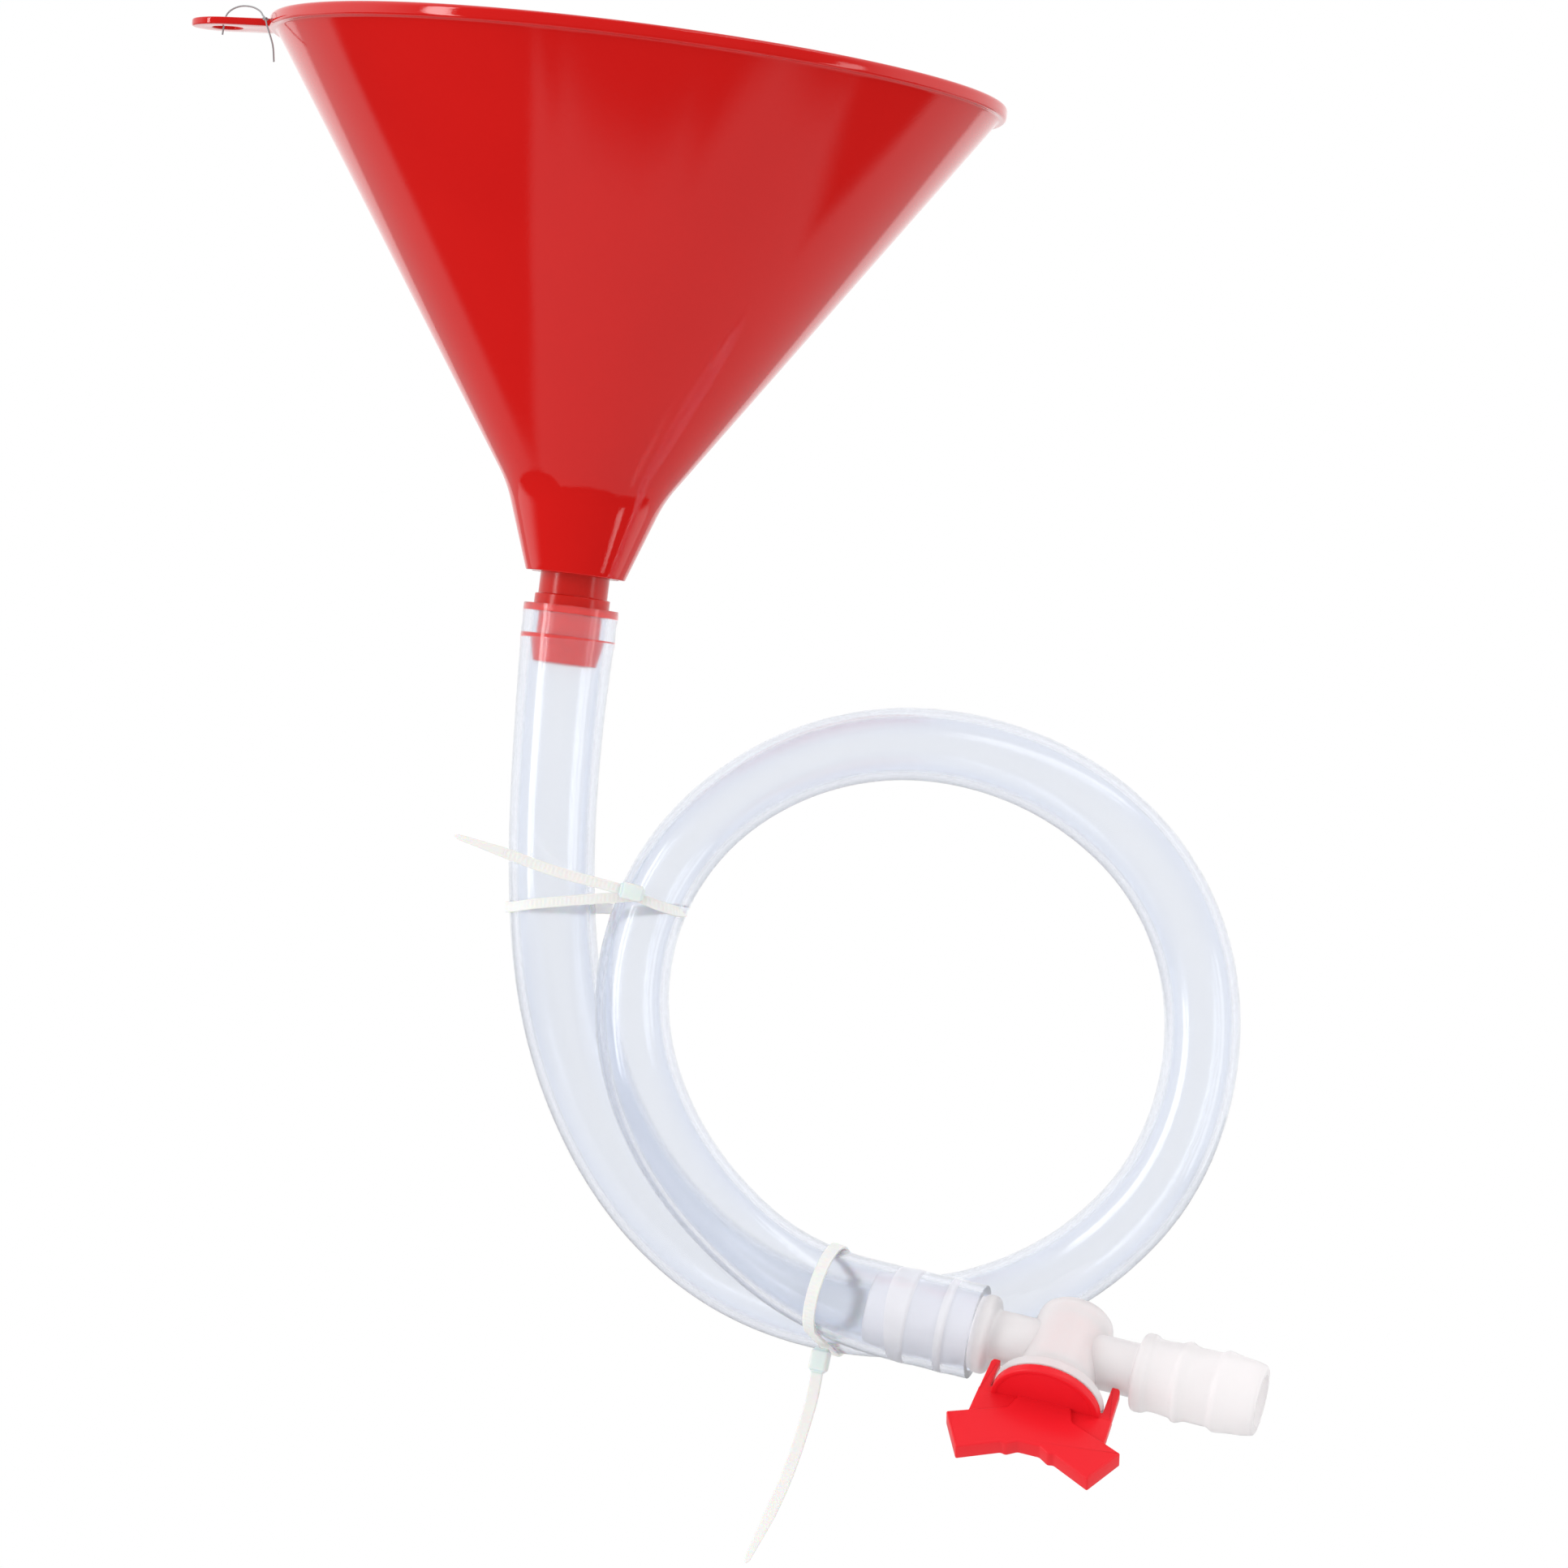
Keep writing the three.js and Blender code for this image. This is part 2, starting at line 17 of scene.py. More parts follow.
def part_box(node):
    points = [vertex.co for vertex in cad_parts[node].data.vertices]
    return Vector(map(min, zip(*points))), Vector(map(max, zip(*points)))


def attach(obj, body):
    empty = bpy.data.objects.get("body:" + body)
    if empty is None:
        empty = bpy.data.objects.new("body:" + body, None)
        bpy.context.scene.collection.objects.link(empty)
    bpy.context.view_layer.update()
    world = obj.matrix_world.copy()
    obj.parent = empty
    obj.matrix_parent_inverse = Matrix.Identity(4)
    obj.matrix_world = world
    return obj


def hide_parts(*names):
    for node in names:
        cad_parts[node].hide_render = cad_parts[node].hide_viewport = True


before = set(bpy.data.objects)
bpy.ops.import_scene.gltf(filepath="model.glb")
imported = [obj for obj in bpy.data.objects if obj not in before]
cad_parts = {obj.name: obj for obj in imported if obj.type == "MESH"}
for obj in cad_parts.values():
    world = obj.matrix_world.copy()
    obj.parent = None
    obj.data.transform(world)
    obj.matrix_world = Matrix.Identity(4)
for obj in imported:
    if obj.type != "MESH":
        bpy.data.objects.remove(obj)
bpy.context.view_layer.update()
MM = 0.001
STATIC, TURNING = "funnel_and_hose", "key"

# %% [markdown]
# The camera and the white room
#
# The camera stands about two metres in front with a long lens, level with the middle of the
# object, and is rolled by seven degrees so that the funnel leans as it does when it is held by
# hand. A look past the object meets plain white. Glossy plastic mirrors another room, dark below
# and in front and bright behind, because it needs something dark to mirror before it looks glossy.
# Clear plastic shows a third, and the light itself comes from a fourth. One world does all four,
# since its nodes can tell which kind of ray is asking.

# %% Camera
CAMERA_AT = Vector((0.0677, -1.93, -0.2025))
ROLL = math.radians(7.15)
LENS_MM = 152.5

def make_camera():
    """A level camera that looks along +Y and is rolled about that way."""
    data = bpy.data.cameras.new("camera")
    data.lens = LENS_MM
    camera = bpy.data.objects.new("camera", data)
    bpy.context.scene.collection.objects.link(camera)
    right = Vector((math.cos(ROLL), 0, math.sin(ROLL)))
    up = Vector((-math.sin(ROLL), 0, math.cos(ROLL)))
    turn = Matrix((right, up, right.cross(up))).transposed()
    camera.matrix_world = Matrix.Translation(CAMERA_AT) @ turn.to_4x4()
    bpy.context.scene.camera = camera

make_camera()
bpy.context.scene.view_settings.view_transform = "Standard"

# %% Small helpers for node trees
def add_node(tree, kind, **settings):
    """A new node of one kind; settings are its properties by name."""
    node = tree.nodes.new(kind)
    for key, value in settings.items():
        setattr(node, key, value)
    return node

def feed(tree, socket, value):
    """Sets a socket to a number, or links it to another node's output."""
    if isinstance(value, (int, float)):
        socket.default_value = value
    else:
        tree.links.new(value, socket)

def math_node(tree, operation, first, second):
    """One sum of two values, each a number or another node's output."""
    node = add_node(tree, "ShaderNodeMath", operation=operation)
    feed(tree, node.inputs[0], first)
    feed(tree, node.inputs[1], second)
    return node.outputs[0]

def ramp_node(tree, factor, low, high, value_low, value_high):
    """Maps factor from low..high to value_low..value_high, held and softened at both ends."""
    node = add_node(tree, "ShaderNodeMapRange", interpolation_type="SMOOTHSTEP")
    tree.links.new(factor, node.inputs["Value"])
    node.inputs["From Min"].default_value = low
    node.inputs["From Max"].default_value = high
    node.inputs["To Min"].default_value = value_low
    node.inputs["To Max"].default_value = value_high
    return node.outputs["Result"]

# %% The room
# A ray's height goes from -1, straight down, to 1, straight up, and its depth from -1, to the
# front, to 1, to the back. Each line of four gives the two heights or depths between which a
# value changes, and then the value at each of them.
LIGHT_BY_HEIGHT = (-0.9, 0.6, 0.78, 0.98)
MIRRORED_BY_DEPTH = (-0.55, 0.1, 0.10, 1.1)
ABOVE_BY_HEIGHT = (-0.46, -0.36, 0.0, 1.0)
GLASS_BY_DEPTH = (-0.1, 0.75, 0.80, 1.0)
MIRRORED_BELOW = 0.03
LIGHT_THROUGH_GLASS = 2.7
LOOKED_AT = 1.0

def pick(tree, switch, off, on):
    """off + switch (on - off), for a switch of 0 to 1."""
    node = add_node(tree, "ShaderNodeMix", data_type="FLOAT")
    for socket, value in (("Factor", switch), ("A", off), ("B", on)):
        feed(tree, node.inputs[socket], value)
    return node.outputs["Result"]

def make_room():
    """One brightness for each kind of ray: straight looks, mirrored, seen through glass, and light.
    Light that reaches a matte surface through glass has a level of its own."""
    world = bpy.data.worlds.new("studio")
    bpy.context.scene.world = world
    world.use_nodes = True
    tree = world.node_tree
    tree.nodes.clear()
    split = add_node(tree, "ShaderNodeSeparateXYZ")
    tree.links.new(add_node(tree, "ShaderNodeTexCoord").outputs["Generated"], split.inputs[0])
    depth, height = split.outputs["Y"], split.outputs["Z"]
    rays = add_node(tree, "ShaderNodeLightPath").outputs
    light = ramp_node(tree, height, *LIGHT_BY_HEIGHT)
    wall = ramp_node(tree, depth, *MIRRORED_BY_DEPTH)
    above = ramp_node(tree, height, *ABOVE_BY_HEIGHT)
    mirrored = pick(tree, above, MIRRORED_BELOW, wall)
    seen = ramp_node(tree, depth, *GLASS_BY_DEPTH)
    from_matte = math_node(tree, "MINIMUM", rays["Diffuse Depth"], 1.0)
    through = pick(tree, from_matte, seen, LIGHT_THROUGH_GLASS)
    level = pick(tree, rays["Is Glossy Ray"], light, mirrored)
    level = pick(tree, rays["Is Transmission Ray"], level, through)
    level = pick(tree, rays["Is Camera Ray"], level, LOOKED_AT)
    shine = add_node(tree, "ShaderNodeBackground")
    shine.inputs["Color"].default_value = (1, 1, 1, 1)
    tree.links.new(level, shine.inputs["Strength"])
    tree.links.new(shine.outputs[0], add_node(tree, "ShaderNodeOutputWorld").inputs[0])

make_room()

# %% [markdown]
# The lamps and the white sheet
#
# The room alone would light the plastic evenly, without streaks. Three long narrow lamps are added
# at the sides and above, and each is mirrored as a streak along the round parts. The real bowl
# also mirrors a pale surface below it, as a broad milky half with a clean edge. A lit table would
# change the light on everything, so a glowing sheet is used that only mirrored rays can see.

# %% Lamps
def make_lamp(name, place, target, width, height, watts):
    """A rectangular lamp that faces its target; places and sizes are in metres."""
    data = bpy.data.lights.new(name, "AREA")
    data.shape = "RECTANGLE"
    data.size, data.size_y = width, height
    data.energy = watts
    lamp = bpy.data.objects.new(name, data)
    bpy.context.scene.collection.objects.link(lamp)
    lamp.location = place
    lamp.rotation_euler = (Vector(target) - Vector(place)).to_track_quat("-Z", "Y").to_euler()

MIDDLE = (0.05, 0, -0.2)
make_lamp("key_lamp", (-1.7, -0.9, -0.1), MIDDLE, 0.3, 1.8, 14)
make_lamp("right_lamp", (1.7, -0.7, -0.5), MIDDLE, 0.3, 1.4, 4)
make_lamp("top_lamp", (0.9, -0.9, 1.5), MIDDLE, 1.6, 0.3, 6)

# %% The white sheet that the bowl mirrors
SHEET_LEVEL = 0.52
SHEET_Z = -0.62
SHEET_EDGE = [[-0.32, -0.36], [-0.26, -0.355], [-0.21, -0.385], [-0.01, -0.388], [0.19, -0.37],
              [0.26, -0.335], [0.37, -0.32], [0.46, -0.29], [0.68, -0.04], [0.75, 0.23], [0.92, 0.47],
              [0.99, 0.56], [1.7, 1.3], [1.7, 2.2], [-2.4, 2.2], [-1.15, 0.77], [-0.525, 0.06],
              [-0.45, -0.03], [-0.36, -0.19]]

def make_sheet():
    """A glowing sheet under the object, which only mirrored rays can see."""
    mesh = bpy.data.meshes.new("white_sheet")
    mesh.from_pydata([(x, y, SHEET_Z) for x, y in SHEET_EDGE], [], [list(range(len(SHEET_EDGE)))])
    sheet = bpy.data.objects.new("white_sheet", mesh)
    bpy.context.scene.collection.objects.link(sheet)
    material = bpy.data.materials.new("sheet_white")
    material.use_nodes = True
    shader = material.node_tree.nodes["Principled BSDF"]
    shader.inputs["Base Color"].default_value = (0, 0, 0, 1)
    shader.inputs["Specular IOR Level"].default_value = 0
    shader.inputs["Emission Color"].default_value = (1, 1, 1, 1)
    shader.inputs["Emission Strength"].default_value = SHEET_LEVEL
    mesh.materials.append(material)
    sheet.visible_camera = False
    sheet.visible_diffuse = False
    sheet.visible_transmission = False
    sheet.visible_shadow = False

make_sheet()

# %% [markdown]
# Surfaces from arrays
#
# Nearly every piece here is either turned, like the funnel, or carried along a path, like the
# hose. Both are grids: one number runs along an outline and the other along a circle or a path.
# A grid's corners are computed as one array, and its faces by index arithmetic.

# %% Grids into meshes
def grid_faces(rows, columns, wrap_rows, wrap_columns):
    """Corner numbers of every quad of a rows x columns grid, as an array of fours."""
    r = np.arange(rows if wrap_rows else rows - 1)[:, None]
    c = np.arange(columns if wrap_columns else columns - 1)[None, :]
    r2, c2 = (r + 1) % rows, (c + 1) % columns
    corners = [r * columns + c, r * columns + c2, r2 * columns + c2, r2 * columns + c]
    return np.stack([np.broadcast_to(k, (r.size, c.size)) for k in corners], axis=-1).reshape(-1, 4)

def volume_of(points, faces):
    """Signed volume: the sum over faces of corner . (corner x corner) / 6, as two triangles each."""
    a, b, c, d = (points[faces[:, k]] for k in range(4))
    first = np.einsum("ij,ij->i", a, np.cross(b, c))
    return (first + np.einsum("ij,ij->i", a, np.cross(c, d))).sum() / 6

def shell(points, wrap_rows=True, wrap_columns=True):
    """A closed grid shell as (points, quads), with its faces turned outwards."""
    rows, columns = points.shape[:2]
    faces = grid_faces(rows, columns, wrap_rows, wrap_columns)
    flat = points.reshape(-1, 3)
    return flat, (faces if volume_of(flat, faces) > 0 else faces[:, ::-1])

def shade_with_edges(mesh, sharp_degrees):
    """Smooth shading, with a sharp edge where two faces meet at more than this angle."""
    mesh.shade_smooth()
    mesh.set_sharp_from_angle(angle=math.radians(sharp_degrees))

def make_piece(name, shells, sharp_degrees=40.0):
    """One object from several shells; points that meet at a pole or a seam are merged."""
    shifts = np.cumsum([0] + [len(p) for p, _ in shells[:-1]])
    points = np.concatenate([p for p, _ in shells])
    faces = np.concatenate([f + s for (_, f), s in zip(shells, shifts)])
    mesh = bpy.data.meshes.new(name)
    mesh.from_pydata(points.tolist(), [], faces.tolist())
    work = bmesh.new()
    work.from_mesh(mesh)
    bmesh.ops.remove_doubles(work, verts=work.verts, dist=1e-7)
    bmesh.ops.dissolve_degenerate(work, edges=work.edges, dist=1e-8)
    work.to_mesh(mesh)
    work.free()
    shade_with_edges(mesh, sharp_degrees)
    piece = bpy.data.objects.new(name, mesh)
    bpy.context.scene.collection.objects.link(piece)
    print(f"{name}: {len(mesh.vertices)} points, {len(mesh.polygons)} faces")
    return piece

# %% Outlines
def rounded(corners, radius, steps=5):
    """Each corner P of a closed outline becomes the curve (1-t)^2 A + 2t(1-t) P + t^2 B.
    A and B lie on the two edges, radius away from P or at 45% of the edge if that is nearer."""
    p = np.asarray(corners, float)
    radius = np.broadcast_to(np.asarray(radius, float), len(p))
    back, ahead = np.roll(p, 1, axis=0) - p, np.roll(p, -1, axis=0) - p
    lengths = [np.linalg.norm(v, axis=1) for v in (back, ahead)]
    cut = [np.minimum(radius, 0.45 * l) / l for l in lengths]
    a, b = p + back * cut[0][:, None], p + ahead * cut[1][:, None]
    t = np.linspace(0, 1, steps)[None, :, None]
    curve = (1 - t) ** 2 * a[:, None] + 2 * t * (1 - t) * p[:, None] + t ** 2 * b[:, None]
    return curve.reshape(-1, p.shape[1])

def dense(outline, step):
    """The same closed outline with extra points on its long straights, step apart."""
    loop = np.vstack([outline, outline[:1]])
    s = np.concatenate([[0], np.cumsum(np.linalg.norm(np.diff(loop, axis=0), axis=1))])
    at = np.unique(np.round(np.concatenate([s, np.arange(0, s[-1], step)]), 7))[:-1]
    return np.stack([np.interp(at, s, loop[:, k]) for k in range(loop.shape[1])], axis=1)

def open_at_axis(outline):
    """An outline that runs along the axis, cut there: it starts and ends in one axis point each."""
    off = np.flatnonzero(outline[:, 0] > 1e-6)
    if len(off) == len(outline):
        return outline, True
    gap = np.argmax(np.diff(np.append(off, off[0] + len(outline))))
    run = np.roll(off, -(gap + 1))
    return outline[[run[0] - 1, *run, (run[-1] + 1) % len(outline)]], False

def placed(points, matrix):
    """Points in a part's own axes, taken to the model's: turned first and then moved."""
    return points @ np.asarray(matrix)[:3, :3].T + np.asarray(matrix)[:3, 3]

def turned(outline, segments, matrix=np.eye(4)):
    """A closed outline (r, z) in millimetres turned about Z: x = r cos u, y = r sin u, z = z."""
    outline, ring_like = open_at_axis(outline)
    u = np.linspace(0, 2 * np.pi, segments, endpoint=False)
    r, z = outline[:, 0, None], outline[:, 1, None]
    points = np.stack([r * np.cos(u), r * np.sin(u), z + 0 * u], axis=-1) * MM
    return shell(placed(points, matrix), wrap_rows=ring_like)

def frame_of(z_way, x_way, place_mm):
    """A place and its three square axes: Z along z_way, X as near x_way as it can be."""
    z = np.asarray(z_way, float) / np.linalg.norm(z_way)
    x = np.asarray(x_way, float) - z * np.dot(x_way, z)
    x /= np.linalg.norm(x)
    matrix = np.eye(4)
    matrix[:3, 0], matrix[:3, 1], matrix[:3, 2] = x, np.cross(z, x), z
    matrix[:3, 3] = np.asarray(place_mm, float) * MM
    return matrix

# %% [markdown]
# The hose
#
# The real hose is 25 mm clear vinyl tube, coiled once and held by two ties. Its middle line is a
# list of points, the same that the engineering model uses. A smooth curve runs through them, and
# rings are carried along it. Bending flattens a hose: its rings are ovals, narrower in the plane
# of the coil. Over the barbs at each end the rings grow.

# %% The hose's route
HOSE_ROUTE = np.array([
    [0, 0, -159.2], [0.2, 0, -176], [0.8, 0, -196], [2.2, 0.6, -220], [4.9, 3.2, -244],
    [8.6, 6.9, -263.7], [13.1, 10.2, -279], [19.3, 12.9, -293.7], [27.2, 15, -307.6],
    [36.5, 16.8, -320.2], [47.2, 18.2, -331.1], [59.2, 19.2, -340.1], [72.3, 19.8, -347.1],
    [87, 20, -351.8], [104, 20, -354.2], [122, 19.5, -353.4], [140, 18, -348.9],
    [157, 15.6, -340.4], [173, 12.4, -328], [187.5, 8.4, -309.4], [195.3, 5.4, -289.6],
    [197.9, 3.2, -269.9], [196.1, 1.6, -250.2], [189.8, 0.6, -231.6], [179.1, 0, -215.4],
    [164.7, -0.4, -202.4], [146.5, -0.8, -192.6], [127.6, -1.1, -187.3], [107.9, -1.5, -186],
    [88.4, -2, -189.2], [70.1, -2.6, -197], [54.1, -3.2, -209], [42.4, -3.9, -223.3],
    [34.4, -4.6, -240.9], [31.4, -5.2, -261.2], [33.9, -5.7, -281.4], [41.4, -6, -299.8],
    [52.9, -6.1, -316.2], [67.4, -6, -329.8], [83.6, -5.8, -340.6], [99, -6, -346.6],
    [112.6, -8.68, -349.4], [127.6, -12.15, -350.85], [142.7, -15.66, -352.31],
])

def smooth_path(points, count, ease=0.0):
    """A Catmull-Rom curve through the points, then evened out over `ease` millimetres.
    Between P1 and P2 it is the cubic with slopes (P2-P0)/2 and (P3-P1)/2."""
    p = np.vstack([2 * points[0] - points[1], points, 2 * points[-1] - points[-2]])
    t = np.linspace(0, len(points) - 1, count * 4)
    k = np.minimum(t.astype(int), len(points) - 2)
    t = (t - k)[:, None]
    p0, p1, p2, p3 = (p[k + j] for j in range(4))
    curve = 0.5 * (2 * p1 + (p2 - p0) * t + (2 * p0 - 5 * p1 + 4 * p2 - p3) * t ** 2
                   + (3 * p1 - p0 - 3 * p2 + p3) * t ** 3)
    curve = evenly(curve, count)
    if ease:
        step = np.linalg.norm(np.diff(curve, axis=0), axis=1).mean()
        soft = blurred(curve, ease / step)
        curve = 2 * soft - blurred(soft, ease / step)
    return evenly(curve, count)

def blurred(values, width):
    """Each row becomes the bell-weighted mean of its neighbours; the ends go on straight."""
    reach = int(4 * width)
    head = values[0] - (values[reach:0:-1] - values[0])
    tail = values[-1] - (values[-2:-reach - 2:-1] - values[-1])
    longer = np.vstack([head, values, tail])
    bell = np.exp(-0.5 * (np.arange(-reach, reach + 1) / width) ** 2)
    bell /= bell.sum()
    columns = [np.convolve(longer[:, j], bell, mode="valid") for j in range(values.shape[1])]
    return np.stack(columns, axis=1)

def lengths_along(points):
    """The distance from the start to each point, as the sum of the steps before it."""
    return np.concatenate([[0], np.cumsum(np.linalg.norm(np.diff(points, axis=0), axis=1))])

def evenly(points, count):
    """The same path with `count` points, all the same distance apart."""
    s = lengths_along(points)
    at = np.linspace(0, s[-1], count)
    return np.stack([np.interp(at, s, points[:, k]) for k in range(3)], axis=1)

def path_axes(points, side):
    """Along a path: T is its direction, B is `side` made square to T, and N = B x T."""
    t = np.gradient(points, axis=0)
    t /= np.linalg.norm(t, axis=1)[:, None]
    b = side - t * (t @ side)[:, None]
    b /= np.linalg.norm(b, axis=1)[:, None]
    return t, np.cross(b, t), b

HOSE_RINGS = 400
HOSE_SIDES = 120
hose_path = smooth_path(HOSE_ROUTE, HOSE_RINGS, ease=9.0)
hose_along = lengths_along(hose_path)
hose_run, hose_across, hose_deep = path_axes(hose_path, np.array([0.0, 1.0, 0.0]))
HOSE_LENGTH = hose_along[-1]
print(f"hose length {HOSE_LENGTH:.0f} mm")

# %% The hose's size along its length
HOSE_R = 12.5
SOFTENED_OVER = 6

def along_hose(pairs):
    """A value that follows given pairs (distance in mm, value), softened where it changes."""
    at, value = np.array(pairs, float).T
    raw = np.interp(hose_along, at, value)
    return blurred(raw[:, None], SOFTENED_OVER / (HOSE_LENGTH / HOSE_RINGS))[:, 0]

def barb_bumps(places, height, width):
    """Small bumps height * exp(-(s - place)^2 / width^2) where a barb presses from inside."""
    gap = hose_along[:, None] - np.array(places)[None, :]
    return (height * np.exp(-((gap / width) ** 2))).sum(axis=1)

END = HOSE_LENGTH
hose_half_width = along_hose([
    (0, 13.75), (16, 13.6), (24, 13.2), (38, 12.9), (62, 12.6), (90, 12.5), (200, 12.5), (300, 11.4),
    (380, 11.1), (470, 11.2), (520, 10.7), (590, 10.1), (640, 10.5), (690, 11.2), (END - 70, 11.3),
    (END - 44, 12.6), (END - 34, 13.5), (END, 13.7),
]) + barb_bumps([1.5, 9.5, END - 8.4, END - 20], 0.22, 2.2)
roundness = along_hose([(0, 1), (180, 1), (300, 0.5), (END - 80, 0.5), (END - 40, 1), (END, 1)])
oval_half_depth = 1.5 * HOSE_R - 0.5 * hose_half_width
hose_half_depth = hose_half_width * roundness + oval_half_depth * (1 - roundness)
hose_wall = along_hose([(0, 3.05), (12, 3.05), (26, 2.6), (60, 2.5), (END - 60, 2.5),
                        (END - 38, 2.3), (END, 2.3)])
print(f"hose width {2 * hose_half_width.min():.1f} to {2 * hose_half_width.max():.1f} mm")

# %% Make the hose
HOSE_CUT = (0.25, 0.6)

def hose_shell():
    """Ring point = P + N w cos u + B d sin u; the outer and inner skins form one closed loop.
    At each end two rings lie across the cut, at shares of the wall's thickness."""
    u = np.linspace(0, 2 * np.pi, HOSE_SIDES, endpoint=False)[None, :, None]

    def skin(share, rows):
        """Rings at a share of the wall's depth: 0 is the outer skin and 1 the inner."""
        wide = (hose_half_width - share * hose_wall)[rows, None, None]
        deep = (hose_half_depth - share * hose_wall)[rows, None, None]
        across = hose_across[rows, None] * (wide * np.cos(u))
        return hose_path[rows, None] + across + hose_deep[rows, None] * (deep * np.sin(u))

    rows = np.arange(HOSE_RINGS)
    end = [skin(share, rows[-1:]) for share in HOSE_CUT]
    start = [skin(share, rows[:1]) for share in HOSE_CUT[::-1]]
    return shell(np.concatenate([skin(0, rows), *end, skin(1, rows[::-1]), *start]) * MM)

hose = make_piece("clear_hose", [hose_shell()], sharp_degrees=50)
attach(hose, STATIC)
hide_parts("hose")

# %% [markdown]
# The cable ties
#
# A tie pulled tight round two hoses takes the shape of a belt. A belt is easy to write with its
# support function: for each direction in its plane, how far out the farthest hose reaches. From
# that distance h(a) the belt's point is h n + h' m, with n the direction and m square to it.
# The strap's teeth are a small wave in its thickness. The head is a rounded block in a collar, and
# the upper tie's strap is drawn up along its axis where it runs into its head.

# %% The tie's belt
STRAP_THICKNESS = 1.15
STRAP_GAP = 0.12
SLANT_LEFT_OUT = 0.5
LIFT_DEPTH = 8
TIE_PLANS = {
    "upper_tie": dict(node="upper_cable_tie", around=[[5.3, 3.6, -246.6], [34.4, -4.7, -243.8]],
                      normal=[-0.1, 0, 0.995], head=[28.0, -19.2, -238.8], width=3.1, lift=4.6,
                      tail=[[5, -23.5, -235.4], [-10, -25, -231.9], [-24.3, -25, -228.9]]),
    "lower_tie": dict(node="lower_cable_tie", around=[[98.5, -5.9, -346.4], [104.5, 20, -354.2]],
                      normal=[0.946, -0.289, -0.147], head=[98.9, 3.0, -367.6], width=3.6, lift=0,
                      tail=[[97.6, 2.2, -382], [93, 0.5, -404], [84.7, -1, -428.4]]),
}

def belt_points(plan, count=720):
    """The belt's middle line in millimetres, and the axis that it goes round.
    A hose that crosses the belt's plane at a slant is measured along a direction from which half
    of the part along the hose is left out."""
    axis = np.array(plan["normal"]) / np.linalg.norm(plan["normal"])
    near = [np.argmin(np.linalg.norm(hose_path - np.array(c), axis=1)) for c in plan["around"]]
    centre = hose_path[near].mean(axis=0)
    x = hose_path[near[1]] - hose_path[near[0]]
    x -= axis * (x @ axis)
    x /= np.linalg.norm(x)
    y = np.cross(axis, x)
    a = np.linspace(0, 2 * np.pi, count, endpoint=False)
    way = np.cos(a)[:, None] * x + np.sin(a)[:, None] * y
    reach = []
    for k in near:
        tilt = way - hose_run[k] * (way @ hose_run[k])[:, None] * SLANT_LEFT_OUT
        wide = hose_half_width[k] * (tilt @ hose_across[k])
        deep = hose_half_depth[k] * (tilt @ hose_deep[k])
        reach.append((hose_path[k] - centre) @ way.T + np.hypot(wide, deep))
    h = np.maximum(*reach) + STRAP_GAP + STRAP_THICKNESS / 2
    slope = (np.roll(h, -1) - np.roll(h, 1)) / (2 * (a[1] - a[0]))
    square = np.roll(way, -count // 4, axis=0)
    points = centre + h[:, None] * way + slope[:, None] * square
    return points + lift_to_head(plan, points, x)[:, None] * axis, axis

def lift_to_head(plan, points, x):
    """How far the front of the belt is pulled along the axis: a tent with its top at the head."""
    at = (points - np.array(plan["head"])) @ x
    room = np.where(at < 0, at.min(), at.max())
    front = np.clip((points[:, 1].mean() - points[:, 1]) / LIFT_DEPTH, 0, 1)
    return plan["lift"] * front * np.clip(1 - at / room, 0, 1)

# %% The tie's strap and head
TOOTH = 1.3
TOOTH_DEPTH = 0.17
TOOTHED_SHARE = 0.36

def strap_rings(path, outward, width_way, teeth, width, taper=None):
    """A rounded strip carried along a path: width across, thickness outward, teeth as a wave.
    Where taper is below 1 the strip is narrower, and 0.55 + 0.45 taper as thick."""
    s = lengths_along(path)
    corner = np.array([[-1, -1], [1, -1], [1, 1], [-1, 1]], float) * [width / 2, STRAP_THICKNESS / 2]
    section = dense(rounded(corner, 0.35, 4), 0.8)
    wide = np.ones(len(path)) if taper is None else taper
    wave = np.where(teeth, TOOTH_DEPTH * np.abs(np.mod(s / TOOTH, 1.0) - 0.5) * 2, 0.0)
    tooth_side = (section[:, 1] > 0) & (np.abs(section[:, 0]) < TOOTHED_SHARE * width)
    across = section[None, :, 0] * wide[:, None]
    out = section[None, :, 1] * (0.55 + 0.45 * wide)[:, None]
    out = out - wave[:, None] * tooth_side[None, :]
    return path[:, None] + across[..., None] * width_way[:, None] + out[..., None] * outward[:, None]

def capped(rings):
    """Closes a tube of rings with a point at the middle of each end ring."""
    first = np.repeat(rings[:1].mean(axis=1, keepdims=True), rings.shape[1], axis=1)
    last = np.repeat(rings[-1:].mean(axis=1, keepdims=True), rings.shape[1], axis=1)
    return np.concatenate([first, rings, last])

def closed_evenly(points, count):
    """A closed path with `count` points, all the same distance apart."""
    return evenly(np.vstack([points, points[:1]]), count + 1)[:-1]

def block_shell(size, radius, matrix, steps=5):
    """A block with rounded edges: a rounded square carried up a rounded square's half."""
    half = np.array(size) / 2
    ring = rounded(np.array([[-1, -1], [1, -1], [1, 1], [-1, 1]]) * half[:2], radius, steps)
    t = np.linspace(0, np.pi / 2, steps)
    levels = [(radius * (1 - np.sin(k)), -half[2] + radius * (1 - np.cos(k))) for k in t]
    levels += [(radius * (1 - np.cos(k)), half[2] - radius * (1 - np.sin(k))) for k in t]
    rings = []
    for shrink, height in levels:
        scale = (half[:2] - shrink) / half[:2]
        rings.append(np.column_stack([ring * scale, np.full(len(ring), height)]))
    return shell(capped(placed(np.array(rings) * MM, matrix)), wrap_rows=False)

